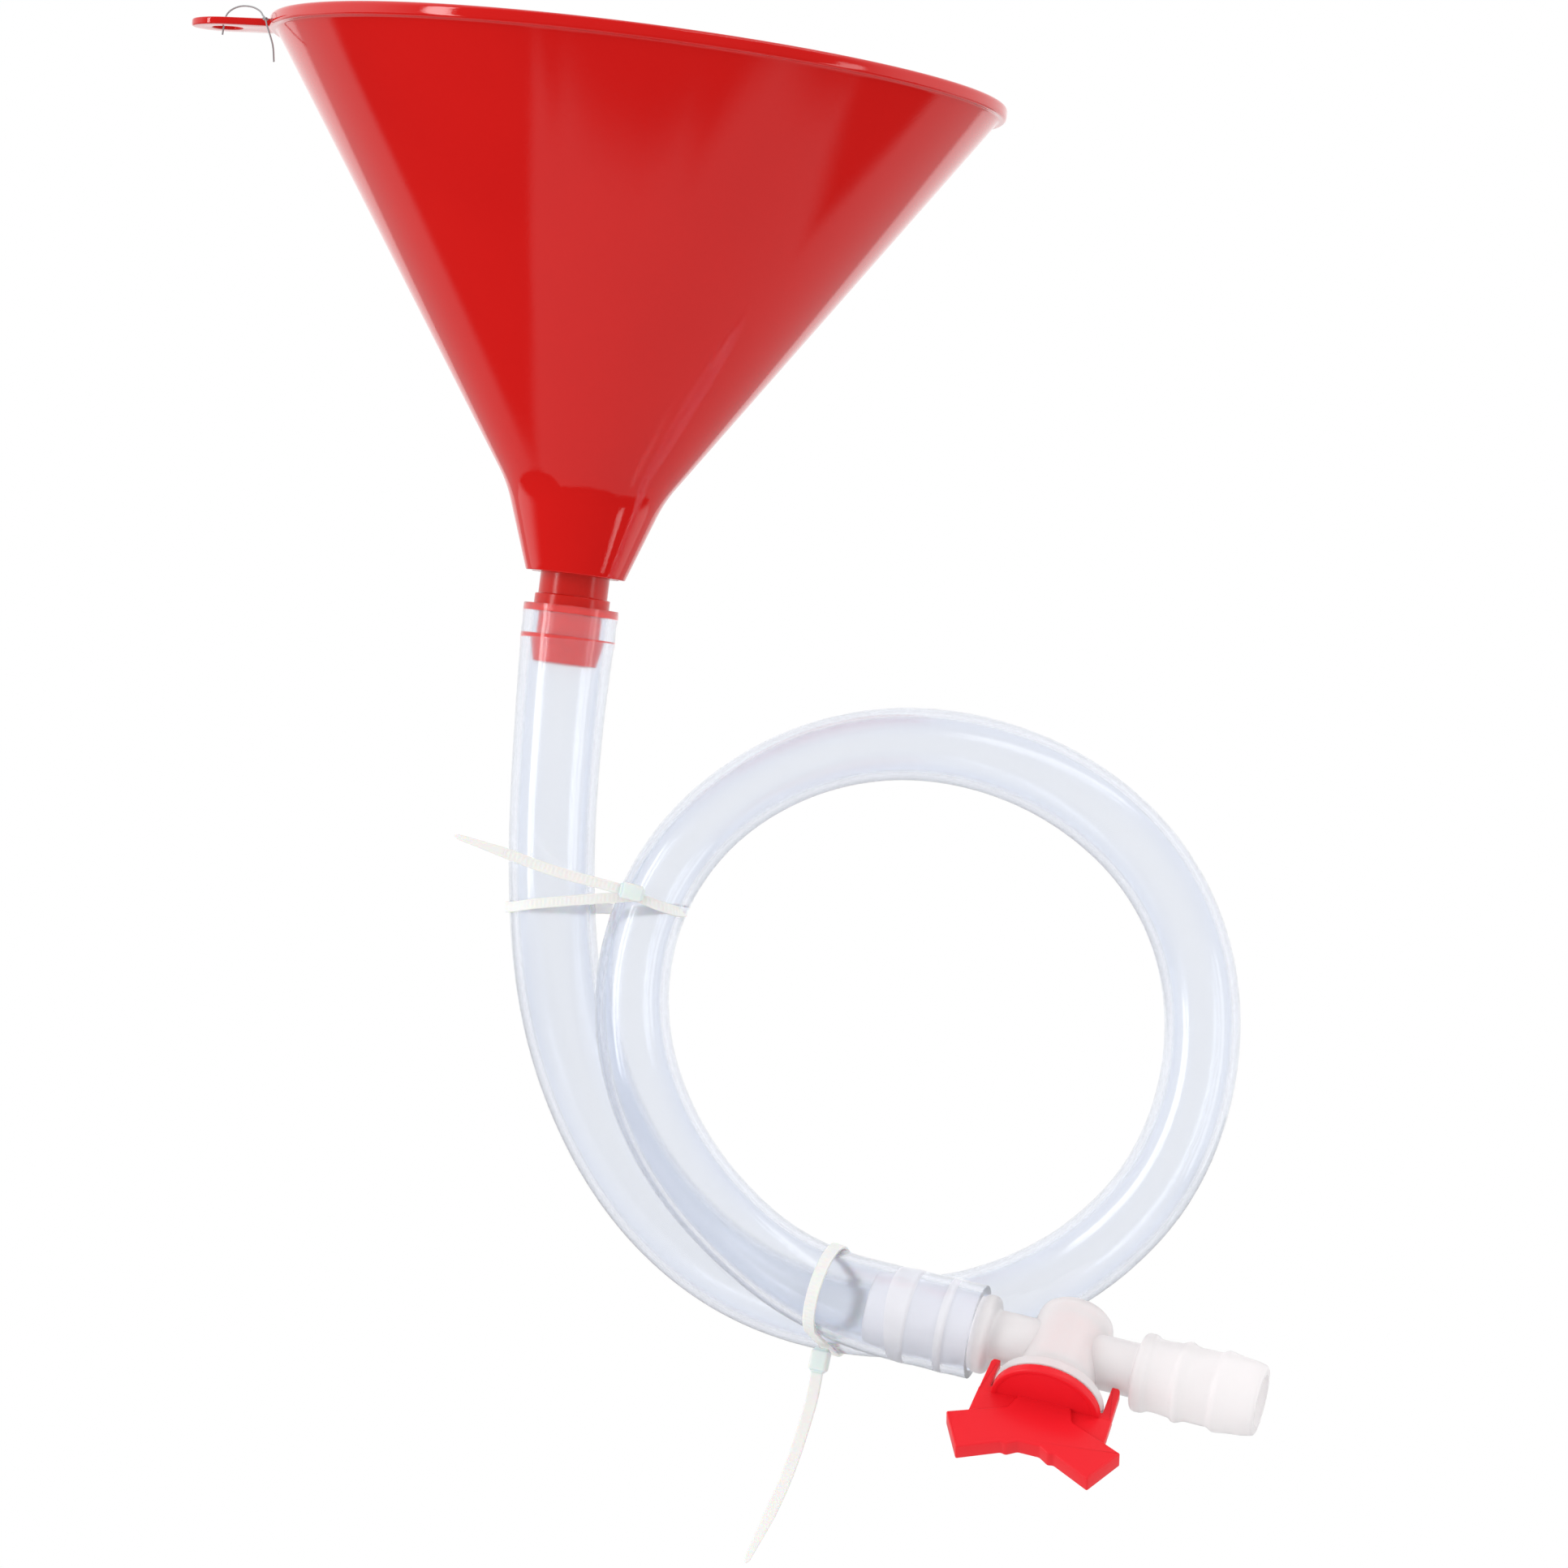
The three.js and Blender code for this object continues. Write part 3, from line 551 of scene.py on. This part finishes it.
# %% Make the ties
BELT_STEPS, TAIL_STEPS = 700, 420
SMOOTH_TAIL = 15
TIP_LENGTH, TIP_WIDTH, TIP_ROUND = 16, 0.38, 1.2

def tail_taper(left):
    """The tail's width, `left` mm from its tip: w + (1 - w) (left / length)^0.8, with a round end."""
    tip = np.clip(left / TIP_LENGTH, 0, 1) ** 0.8 * (1 - TIP_WIDTH) + TIP_WIDTH
    return np.where(left < TIP_ROUND, tip * np.sqrt(np.clip(left / TIP_ROUND, 0.02, 1)), tip)

def make_tie(name, plan):
    """One tie: a belt that closes on itself, a head in a collar, and a tail out of the head."""
    belt, axis = belt_points(plan)
    belt = closed_evenly(belt, BELT_STEPS)
    step = np.roll(belt, -1, axis=0) - np.roll(belt, 1, axis=0)
    outward = np.cross(step / np.linalg.norm(step, axis=1)[:, None], axis)
    sides = np.broadcast_to(axis, belt.shape)
    band = strap_rings(belt, outward, sides, np.ones(len(belt), bool), plan["width"])
    head = np.array(plan["head"])
    bend = head + 0.35 * (np.array(plan["tail"][0]) - head)
    tail = smooth_path(np.array([head, bend, *plan["tail"]]), TAIL_STEPS, ease=3.0)
    along = lengths_along(tail)
    left = along[-1] - along
    _, n, b = path_axes(tail, axis)
    strip = strap_rings(tail, n, b, left > SMOOTH_TAIL, plan["width"], taper=tail_taper(left))
    head_axes = frame_of(tail[25] - tail[0], axis, head)
    block = block_shell((plan["width"] + 1.7, 4.2, 6.2), 0.8, head_axes)
    collar = block_shell((plan["width"] + 0.6, 3.2, 7.2), 0.6, head_axes)
    shells = [shell(band * MM), shell(capped(strip * MM), wrap_rows=False), block, collar]
    tie = make_piece(name, shells)
    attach(tie, STATIC)
    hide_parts(plan["node"])
    return tie

ties = [make_tie(name, plan) for name, plan in TIE_PLANS.items()]

# %% [markdown]
# The tag thread
#
# A short end of grey thread is left in the hang tab's hole. It is far thinner than anything else
# here, so a plain round tube along a given route is enough, with a small trefoil as its knot.

# %% Thread and knot
TAB_HOLE_X = -120.2
THREAD_ROUTE = np.array([
    [-1.4, 3, -6.5], [-1.3, 2.9, -4.4], [-1.2, 2.9, -2], [-0.7, 2.9, -0.2], [1, 2.8, 1.5],
    [3.6, 1.6, 2.4], [6.8, -1.6, 2.1], [9.4, -5.8, 0.8], [10.8, -10, -0.8], [12, -14, -2.1],
    [13, -16.8, -4.4], [14.2, -19, -6.8], [15.8, -21.5, -10.5], [16.8, -23.5, -15],
]) + [TAB_HOLE_X, 0, 0]
THREAD_R = 0.25
KNOT_SIZE = KNOT_R = 0.24

def tube_shell(path, radius, sides, closed=False):
    """Round tube: P + r (N cos u + B sin u), with N and B square to the path."""
    _, n, b = path_axes(path, np.array([0.25, 0.9, 0.35]))
    u = np.linspace(0, 2 * np.pi, sides, endpoint=False)[None, :, None]
    rings = path[:, None] + radius * (n[:, None] * np.cos(u) + b[:, None] * np.sin(u))
    return shell(rings * MM) if closed else shell(capped(rings * MM), wrap_rows=False)

def knot_path(centre, size, count=120):
    """A trefoil: x = sin t + 2 sin 2t, y = cos t - 2 cos 2t, z = -sin 3t, times size."""
    t = np.linspace(0, 2 * np.pi, count, endpoint=False)
    shape = np.stack([np.sin(t) + 2 * np.sin(2 * t), np.cos(t) - 2 * np.cos(2 * t), -np.sin(3 * t)], 1)
    return np.asarray(centre) + size * shape

thread_path = smooth_path(THREAD_ROUTE, 160, ease=1.0)
thread = make_piece("thread", [tube_shell(thread_path, THREAD_R, 12)])
knot_loop = knot_path(THREAD_ROUTE[9], KNOT_SIZE)
knot = make_piece("thread_knot", [tube_shell(knot_loop, KNOT_R, 10, closed=True)])
for piece in (thread, knot):
    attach(piece, STATIC)
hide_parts("tag_thread")

# %% [markdown]
# The funnel
#
# One turned outline makes the whole bowl: up the outside from the neck, over the rolled lip and
# down the inside. The tab is a plate with a hole. Seen along its thickness it is a closed ring,
# so it is a grid that wraps both ways: once round the hole and once over the plate's edge.

# %% Funnel sizes, taken from the frame
low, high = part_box("funnel")
RIM_R = high[0] / MM
NECK_END_Z = low[2] / MM
SHOULDER = (23.1, -125.6)
NECK_END_R = 14.5
WALL = 1.7
LIP_HEIGHT = 4.0
BOWL_TOP_R = RIM_R - 2.3
TAB_HALF_WIDTH, TAB_HOLE_R, TAB_ROOT = 10.4, 4.4, 15.3
TAB_THICKNESS = 2.1
TAB_UP = [-0.0799, 0, 0.9968]
TAB_Z = -2.5
print(f"lip radius {RIM_R:.2f} mm, neck ends at {NECK_END_Z:.1f} mm")

# %% Make the funnel
def funnel_outline():
    """The bowl's closed outline: up the outside, over the lip and down the inside."""
    corners = [
        [NECK_END_R, NECK_END_Z], SHOULDER, [BOWL_TOP_R, -LIP_HEIGHT], [RIM_R, -LIP_HEIGHT],
        [RIM_R, 0], [BOWL_TOP_R - WALL, 0], [BOWL_TOP_R - 1.2 * WALL, -LIP_HEIGHT - 1],
        [SHOULDER[0] - 2, SHOULDER[1] + 0.6], [NECK_END_R - 1.8, NECK_END_Z],
    ]
    radii = [0.35, 5, 0.5, 1.5, 1.5, 0.8, 3, 5, 0.3]
    return dense(rounded(corners, radii, 9), 2.0)

def tab_shell():
    """Plate round a hole: at angle u the plate's top runs from the hole's edge to the outline."""
    u = np.linspace(0, 2 * np.pi, 128, endpoint=False)
    side = TAB_HALF_WIDTH / np.maximum(np.abs(np.sin(u)), 1e-6)
    end = TAB_ROOT / np.maximum(np.cos(u), 1e-6)
    outer = np.where(np.cos(u) < 0, TAB_HALF_WIDTH, np.minimum(side, end))
    edge = rounded([[0, 0], [1, 0], [1, 1], [0, 1]], 0.28, 6)
    share, lift = edge[:, 0, None], edge[:, 1, None]
    at_outline, at_hole = outer - (1 - share) * TAB_THICKNESS, TAB_HOLE_R + share * TAB_THICKNESS
    soft = np.where(share > 0.5, at_outline, at_hole)
    x, y, z = soft * np.cos(u), soft * np.sin(u), TAB_THICKNESS * (lift - 1) + 0 * soft
    tilted = frame_of(TAB_UP, [1, 0, 0], [TAB_HOLE_X, 0, TAB_Z])
    return shell(placed(np.stack([x, y, z], axis=-1) * MM, tilted))

funnel = make_piece("funnel_bowl", [turned(funnel_outline(), 288), tab_shell()])
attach(funnel, STATIC)
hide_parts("funnel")

# %% [markdown]
# The spout adapter
#
# It is turned like the bowl, from an outline of its own. Its conical head rests in the neck, and
# two rings under it hold the hose. Its heights are measured from the neck's end.

# %% Make the spout adapter
def adapter_outline():
    """The adapter's closed outline: up the outside from its lower end, and down the bore."""
    top = NECK_END_Z
    corners = [
        [7.2, top - 26], [9.25, top - 26], [11, top - 18], [9.25, top - 18], [9.25, top - 11.5],
        [11, top - 11.5], [11, top - 6.3], [10.1, top - 6.3], [10.1, top], [12.3, top],
        [15.9, top + 10], [14.9, top + 10], [7.2, top],
    ]
    radii = [0.3, 0.4, 0.3, 0.3, 0.3, 0.5, 0.4, 0.3, 0.2, 0.3, 0.3, 0.3, 2]
    return dense(rounded(corners, radii, 6), 1.0)

adapter = make_piece("barbed_spout", [turned(adapter_outline(), 160)])
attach(adapter, STATIC)
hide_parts("spout_adapter")

# %% [markdown]
# The valve
#
# The valve lies askew, so it is made in its own square axes and then placed: X runs along the
# pipe to the outlet, Z out along the plug to the key. Pipe and housing are two turned solids that
# a Boolean joins, and two more that it cuts away.

# %% The valve's own axes
VALVE_CENTRE = np.array([168.3, -21.6, -354.8])
valve_axes = frame_of([-0.224, -0.669, -0.708], [0.97, -0.225, -0.094], VALVE_CENTRE)
along_pipe = valve_axes @ np.array([[0, 0, 1, 0], [0, 1, 0, 0], [-1, 0, 0, 0], [0, 0, 0, 1]], float)

def solid_of(name, outline, segments, matrix):
    """One turned solid as an object of its own."""
    return make_piece(name, [turned(outline, segments, matrix)])

def apply_modifiers(piece):
    """Puts the mesh that the modifiers make in place of the piece's own."""
    evaluated = piece.evaluated_get(bpy.context.evaluated_depsgraph_get())
    mesh = bpy.data.meshes.new_from_object(evaluated)
    piece.modifiers.clear()
    piece.data = mesh

def boolean(piece, others, operation):
    """Applies one exact Boolean after another and takes the tools away."""
    for other in others:
        step = piece.modifiers.new("cut", "BOOLEAN")
        step.operation, step.object, step.solver = operation, other, "EXACT"
        apply_modifiers(piece)
        bpy.data.objects.remove(other)

def with_axis(half, end):
    """A closed outline from one side's (radius, distance) points, mirrored and closed on the axis."""
    mirrored = [[r, -x] for r, x in reversed(half)]
    return np.array([[0, -end], *mirrored, *half, [0, end]], float)

# %% Make the valve body
PIPE_END = 58.2
PIPE_HALF = [
    [7.9, 9], [7.9, 21.2], [10.6, 21.7], [11.5, 22.6], [11.5, 25.2], [10.6, 26.3], [10.5, 28.2],
    [10.9, 33.2], [11.9, 34.4], [11.9, 35.6], [10.9, 37.4], [10.95, 44.8], [11.9, 46.0], [11.9, 47.2],
    [11.3, 50.5], [10.9, 55], [10.2, PIPE_END],
]
HOUSING = [
    [0, -13.9], [8.9, -13.9], [11.3, -11.9], [11.3, 13.2], [15.6, 15.4], [16.2, 16], [16.2, 18.7],
    [0, 18.7],
]
HOUSING_RADII = [0, 2.2, 2.2, 2.5, 1.0, 0.6, 0.5, 0]
BORE_END = PIPE_END + 2
BORE_HALF = [[6.2, 34.2], [7.7, PIPE_END], [7.7, BORE_END]]
WELL = [[0, -11.5], [9.3, -11.5], [9.3, 20], [0, 20]]
MOULDED_SHARP_DEGREES = 38

def valve_outlines():
    """The closed outlines of the pipe, the housing, the pipe's bore and the plug's well."""
    pipe = dense(rounded(with_axis(PIPE_HALF, PIPE_END), 0.9), 1.4)
    housing = dense(rounded(HOUSING, HOUSING_RADII), 1.4)
    bore = dense(with_axis(BORE_HALF, BORE_END), 3.0)
    well = dense(np.array(WELL, float), 2.0)
    return pipe, housing, bore, well

pipe_outline, housing_outline, bore_outline, well_outline = valve_outlines()
valve_body = solid_of("valve_shell", pipe_outline, 128, along_pipe)
boolean(valve_body, [solid_of("housing", housing_outline, 128, valve_axes)], "UNION")
boolean(valve_body, [solid_of("bore", bore_outline, 96, along_pipe),
                     solid_of("well", well_outline, 96, valve_axes)], "DIFFERENCE")
shade_with_edges(valve_body.data, MOULDED_SHARP_DEGREES)
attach(valve_body, STATIC)
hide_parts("valve_body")

# %% [markdown]
# The key
#
# Plug, disc, ears and wings are one moulding. The plug and disc are turned. The flat parts are
# outlines given a thickness with softened edges, and joined to the disc. A bore goes across the
# plug in line with the pipe, and two rings of rubber lie in the plug's grooves.

# %% Flat parts
def plate_rings(corners, thickness, corner_radius, edge):
    """An outline (along X, out along Z) given a thickness along Y; its edge is a quarter round."""
    outline = rounded(corners, corner_radius)
    ahead, behind = np.roll(outline, -1, axis=0), np.roll(outline, 1, axis=0)
    run = ahead - behind
    inward = np.column_stack([-run[:, 1], run[:, 0]])
    inward /= np.linalg.norm(inward, axis=1)[:, None]
    twice_area = (outline[:, 0] * ahead[:, 1] - ahead[:, 0] * outline[:, 1]).sum()
    inward *= np.sign(twice_area)
    t = np.linspace(0, np.pi / 2, 5)
    insets = np.concatenate([edge * (1 - np.sin(t)), edge * (1 - np.cos(t))])
    heights = np.concatenate([-thickness / 2 + edge * (1 - np.cos(t)),
                              thickness / 2 - edge * (1 - np.sin(t))])
    flat = outline[None] + inward[None] * insets[:, None, None]
    levels = np.broadcast_to(heights[:, None], flat.shape[:2])
    return np.stack([flat[..., 0], levels, flat[..., 1]], axis=-1)

def plate_piece(name, corners, thickness, corner_radius, edge):
    """A plate in the valve's axes as an object of its own, closed by one face at each end."""
    points = placed(plate_rings(corners, thickness, corner_radius, edge) * MM, valve_axes)
    flat, faces = shell(points, wrap_rows=False)
    count = points.shape[1]
    mesh = bpy.data.meshes.new(name)
    ends = [list(range(count))[::-1], list(range(len(flat) - count, len(flat)))]
    mesh.from_pydata(flat.tolist(), [], faces.tolist() + ends)
    work = bmesh.new()
    work.from_mesh(mesh)
    bmesh.ops.recalc_face_normals(work, faces=work.faces)
    work.to_mesh(mesh)
    work.free()
    piece = bpy.data.objects.new(name, mesh)
    bpy.context.scene.collection.objects.link(piece)
    return piece

def join_into(piece, others):
    """Adds the others' closed shells to the piece's mesh and takes the others away."""
    work = bmesh.new()
    for source in (piece, *others):
        work.from_mesh(source.data)
    work.to_mesh(piece.data)
    work.free()
    for other in others:
        bpy.data.objects.remove(other)

def mirrored_outline(half):
    """Right-hand points from bottom to top, then the same on the left from top to bottom."""
    return np.array(half + [[-x, z] for x, z in reversed(half)], float)

# %% Make the key
DISC_FRONT = 21.6
PLUG_AND_DISC = [
    [0, -11.2], [8.2, -11.2], [9, -10.4], [9, -9.65], [7.75, -9.65], [7.75, -7.75], [9, -7.75],
    [9, 8.25], [7.75, 8.25], [7.75, 10.15], [9, 10.15], [9, 19], [16.2, 19], [16.2, DISC_FRONT],
    [14.9, DISC_FRONT], [14.3, 21.3], [0, 21.3],
]
PLUG_AND_DISC_RADII = [0, .4, .4, .1, .1, .1, .1, .1, .1, .1, .1, .3, .5, .9, .4, .3, 0]
WINGS = [[3.2, DISC_FRONT + 15.6], [6.2, DISC_FRONT + 17.6], [7.8, DISC_FRONT + 17.2],
         [19.4, DISC_FRONT + 23], [25.8, DISC_FRONT + 11.2], [19.4, DISC_FRONT + 8.4],
         [9.4, DISC_FRONT + 4.2], [7.6, DISC_FRONT - 1.2]]
WEB = [[10, DISC_FRONT + 9.6], [20.2, DISC_FRONT + 9.2], [19.8, DISC_FRONT - 1.6],
       [14, DISC_FRONT - 1.6]]
EAR = [[16.6, 9.3], [18.6, 9.3], [19.2, 10.2], [19.7, 21.5], [13.9, 21.4], [13.9, 19.2], [16.6, 19.3]]
PLUG_BORE = [[0, -20], [5.5, -20], [5.5, 20], [0, 20]]

def make_key():
    """The turned plug and disc, with the wings and web united to them and the ears added."""
    disc = dense(rounded(PLUG_AND_DISC, PLUG_AND_DISC_RADII, 6), 1.2)
    key = solid_of("key_moulding", disc, 128, valve_axes)
    wings = plate_piece("wings", mirrored_outline(WINGS), thickness=5.6, corner_radius=0.6, edge=0.55)
    web = plate_piece("web", mirrored_outline(WEB), thickness=3.2, corner_radius=0.5, edge=0.4)
    boolean(key, [wings, web], "UNION")
    ears = [plate_piece("ear", np.array(EAR) * [side, 1], thickness=3.5, corner_radius=0.4, edge=0.4)
            for side in (-1, 1)]
    bore = dense(np.array(PLUG_BORE, float), 4.0)
    boolean(key, [solid_of("plug_bore", bore, 64, along_pipe)], "DIFFERENCE")
    join_into(key, ears)
    shade_with_edges(key.data, MOULDED_SHARP_DEGREES)
    return key

key = make_key()
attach(key, TURNING)
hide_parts("valve_key")

# %% Make the two rings
RING_R, RING_HALF_THICKNESS = 8.5, 0.65
RING_HEIGHTS = {"seal_low": -8.7, "seal_high": 9.2}

def make_ring(name, node, height):
    """A ring: r = R + a cos v, z = h + a sin v, turned about the plug's axis."""
    v = np.linspace(0, 2 * np.pi, 24, endpoint=False)
    around, up = RING_HALF_THICKNESS * np.cos(v), RING_HALF_THICKNESS * np.sin(v)
    outline = np.column_stack([RING_R + around, height + up])
    ring = make_piece(name, [turned(outline, 96, valve_axes)])
    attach(ring, TURNING)
    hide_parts(node)
    return ring

rings = [make_ring("seal_low", "key_o_ring_lower", RING_HEIGHTS["seal_low"]),
         make_ring("seal_high", "key_o_ring_upper", RING_HEIGHTS["seal_high"])]

# %% [markdown]
# Materials
#
# Moulded plastic is never quite even: its gloss and its shade drift, and it carries a fine grain.
# One node group makes all three, and each material takes them at its own strength. Clear vinyl is
# refractive, and looks deeper where its wall is seen edge on, because the eye looks through more
# of it there. No other material here has a colour that changes with the angle.

# %% A shared skin for moulded plastic
def make_skin_group():
    """Roughness and a mottle that drift with slow noise, and a normal with a fine grain."""
    group = bpy.data.node_groups.new("moulded_skin", "ShaderNodeTree")
    ports = group.interface
    for name, kind, value in (("Vector", "NodeSocketVector", None), ("Gloss", "NodeSocketFloat", 0.2),
                              ("Drift", "NodeSocketFloat", 0.05), ("Grain", "NodeSocketFloat", 0.02)):
        socket = ports.new_socket(name=name, in_out="INPUT", socket_type=kind)
        if value is not None:
            socket.default_value = value
    ports.new_socket(name="Roughness", in_out="OUTPUT", socket_type="NodeSocketFloat")
    ports.new_socket(name="Normal", in_out="OUTPUT", socket_type="NodeSocketVector")
    ports.new_socket(name="Mottle", in_out="OUTPUT", socket_type="NodeSocketFloat")
    come, go = add_node(group, "NodeGroupInput"), add_node(group, "NodeGroupOutput")
    slow = add_node(group, "ShaderNodeTexNoise")
    slow.inputs["Scale"].default_value = 22
    slow.inputs["Detail"].default_value = 4
    fine = add_node(group, "ShaderNodeTexNoise")
    fine.inputs["Scale"].default_value = 2600
    fine.inputs["Detail"].default_value = 2
    for noise in (slow, fine):
        group.links.new(come.outputs["Vector"], noise.inputs["Vector"])
    centred = math_node(group, "SUBTRACT", slow.outputs[0], 0.5)
    drift = math_node(group, "MULTIPLY", centred, come.outputs["Drift"])
    group.links.new(math_node(group, "ADD", come.outputs["Gloss"], drift), go.inputs["Roughness"])
    bump = add_node(group, "ShaderNodeBump")
    bump.inputs["Distance"].default_value = 0.0002
    group.links.new(come.outputs["Grain"], bump.inputs["Strength"])
    group.links.new(fine.outputs[0], bump.inputs["Height"])
    group.links.new(bump.outputs[0], go.inputs["Normal"])
    group.links.new(slow.outputs[0], go.inputs["Mottle"])
    return group

skin_group = make_skin_group()

# %% One function for every plastic
def plastic(name, light, dark, gloss, drift=0.05, grain=0.05, **plain):
    """A Principled plastic whose colour wanders between two near shades; plain sets its sockets."""
    material = bpy.data.materials.new(name)
    material.use_nodes = True
    tree = material.node_tree
    shader = tree.nodes["Principled BSDF"]
    where = add_node(tree, "ShaderNodeTexCoord").outputs["Object"]
    skin = add_node(tree, "ShaderNodeGroup", node_tree=skin_group)
    tree.links.new(where, skin.inputs["Vector"])
    for socket, value in (("Gloss", gloss), ("Drift", drift), ("Grain", grain)):
        skin.inputs[socket].default_value = value
    shade = add_node(tree, "ShaderNodeMix", data_type="RGBA")
    tree.links.new(skin.outputs["Mottle"], shade.inputs["Factor"])
    shade.inputs["A"].default_value = (*dark, 1)
    shade.inputs["B"].default_value = (*light, 1)
    tree.links.new(shade.outputs["Result"], shader.inputs["Base Color"])
    tree.links.new(skin.outputs["Roughness"], shader.inputs["Roughness"])
    tree.links.new(skin.outputs["Normal"], shader.inputs["Normal"])
    for socket, value in plain.items():
        shader.inputs[socket.replace("_", " ")].default_value = value
    return material

EDGE_BLEND = 0.35

def deeper_edges(material, edge):
    """Where clear plastic turns away from the eye, its colour goes over to a deeper one."""
    tree = material.node_tree
    shader = tree.nodes["Principled BSDF"]
    plain = shader.inputs["Base Color"].links[0].from_socket
    turn = add_node(tree, "ShaderNodeLayerWeight")
    turn.inputs["Blend"].default_value = EDGE_BLEND
    mix = add_node(tree, "ShaderNodeMix", data_type="RGBA")
    tree.links.new(turn.outputs["Facing"], mix.inputs["Factor"])
    tree.links.new(plain, mix.inputs["A"])
    mix.inputs["B"].default_value = (*edge, 1)
    tree.links.new(mix.outputs["Result"], shader.inputs["Base Color"])

def paint(piece, material):
    """Gives the whole piece one material."""
    piece.data.materials.clear()
    piece.data.materials.append(material)

# %% Give each piece its material
funnel_red = plastic("funnel_red", (0.60, 0.0105, 0.0085), (0.54, 0.0085, 0.0075), 0.05,
                     drift=0.03, IOR=1.5)
adapter_red = plastic("adapter_red", (0.56, 0.012, 0.007), (0.50, 0.009, 0.006), 0.22, IOR=1.4)
key_red = plastic("key_red", (0.84, 0.012, 0.022), (0.76, 0.010, 0.018), 0.36, grain=0.12, IOR=1.35)
clear_vinyl = plastic("clear_vinyl", (0.925, 0.94, 0.968), (0.905, 0.922, 0.958), 0.16, grain=0.0,
                      Transmission_Weight=0.97, IOR=1.38, Coat_Weight=0.5, Coat_Roughness=0.15)
deeper_edges(clear_vinyl, (0.76, 0.82, 0.96))
natural_nylon = plastic("natural_nylon", (0.81, 0.83, 0.81), (0.74, 0.76, 0.74), 0.4, IOR=1.4,
                        Subsurface_Weight=0.4, Subsurface_Scale=0.002)
natural_polyethylene = plastic("natural_polyethylene", (0.95, 0.93, 0.935), (0.92, 0.90, 0.905),
                               0.34, IOR=1.4, Transmission_Weight=0.45)
seal_black = plastic("seal_black", (0.02, 0.02, 0.02), (0.01, 0.01, 0.01), 0.5, grain=0.2)
grey_thread = plastic("grey_thread", (0.36, 0.36, 0.37), (0.25, 0.25, 0.26), 0.6, grain=0.3)

paint(funnel, funnel_red)
paint(adapter, adapter_red)
paint(hose, clear_vinyl)
paint(valve_body, natural_polyethylene)
paint(key, key_red)
for piece in ties:
    paint(piece, natural_nylon)
for piece in rings:
    paint(piece, seal_black)
for piece in (thread, knot):
    paint(piece, grey_thread)

# %% [markdown]
# The floor
#
# A pale disc lies well under the object. Its rim fades out, so that from every side it melts into
# the white room. The bowl mirrors the white sheet at the same height instead of it.

# %% Make the floor
FLOOR_X, FLOOR_Z, FLOOR_R = 0.05, SHEET_Z, 0.75
FLOOR_CIRCLES, FLOOR_SPOKES = 24, 96
FADE_FROM, FADE_TO = 0.4 * FLOOR_R, 0.95 * FLOOR_R

def make_floor():
    """A flat disc: x = X + r cos u, y = r sin u. Its alpha falls from 1 to 0 towards its rim."""
    turns = np.linspace(0, 2 * np.pi, FLOOR_SPOKES, endpoint=False)
    radius = np.linspace(0.001, FLOOR_R, FLOOR_CIRCLES)[:, None]
    x, y = FLOOR_X + radius * np.cos(turns), radius * np.sin(turns)
    points = np.stack([x, y, np.full_like(x, FLOOR_Z)], -1).reshape(-1, 3)
    mesh = bpy.data.meshes.new("floor")
    faces = grid_faces(FLOOR_CIRCLES, FLOOR_SPOKES, False, True)[:, ::-1]
    mesh.from_pydata(points.tolist(), [], faces.tolist())
    floor = bpy.data.objects.new("floor", mesh)
    bpy.context.scene.collection.objects.link(floor)
    material = bpy.data.materials.new("floor_white")
    material.use_nodes = True
    tree = material.node_tree
    shader = tree.nodes["Principled BSDF"]
    shader.inputs["Base Color"].default_value = (0.9, 0.9, 0.9, 1)
    shader.inputs["Roughness"].default_value = 0.7
    where = add_node(tree, "ShaderNodeTexCoord").outputs["Object"]
    centre = add_node(tree, "ShaderNodeMapping")
    tree.links.new(where, centre.inputs["Vector"])
    centre.inputs["Location"].default_value = (-FLOOR_X, 0, -FLOOR_Z)
    distance = add_node(tree, "ShaderNodeVectorMath", operation="LENGTH")
    tree.links.new(centre.outputs[0], distance.inputs[0])
    fade = ramp_node(tree, distance.outputs["Value"], FADE_FROM, FADE_TO, 1.0, 0.0)
    tree.links.new(fade, shader.inputs["Alpha"])
    mesh.materials.append(material)
    floor.visible_glossy = False

make_floor()
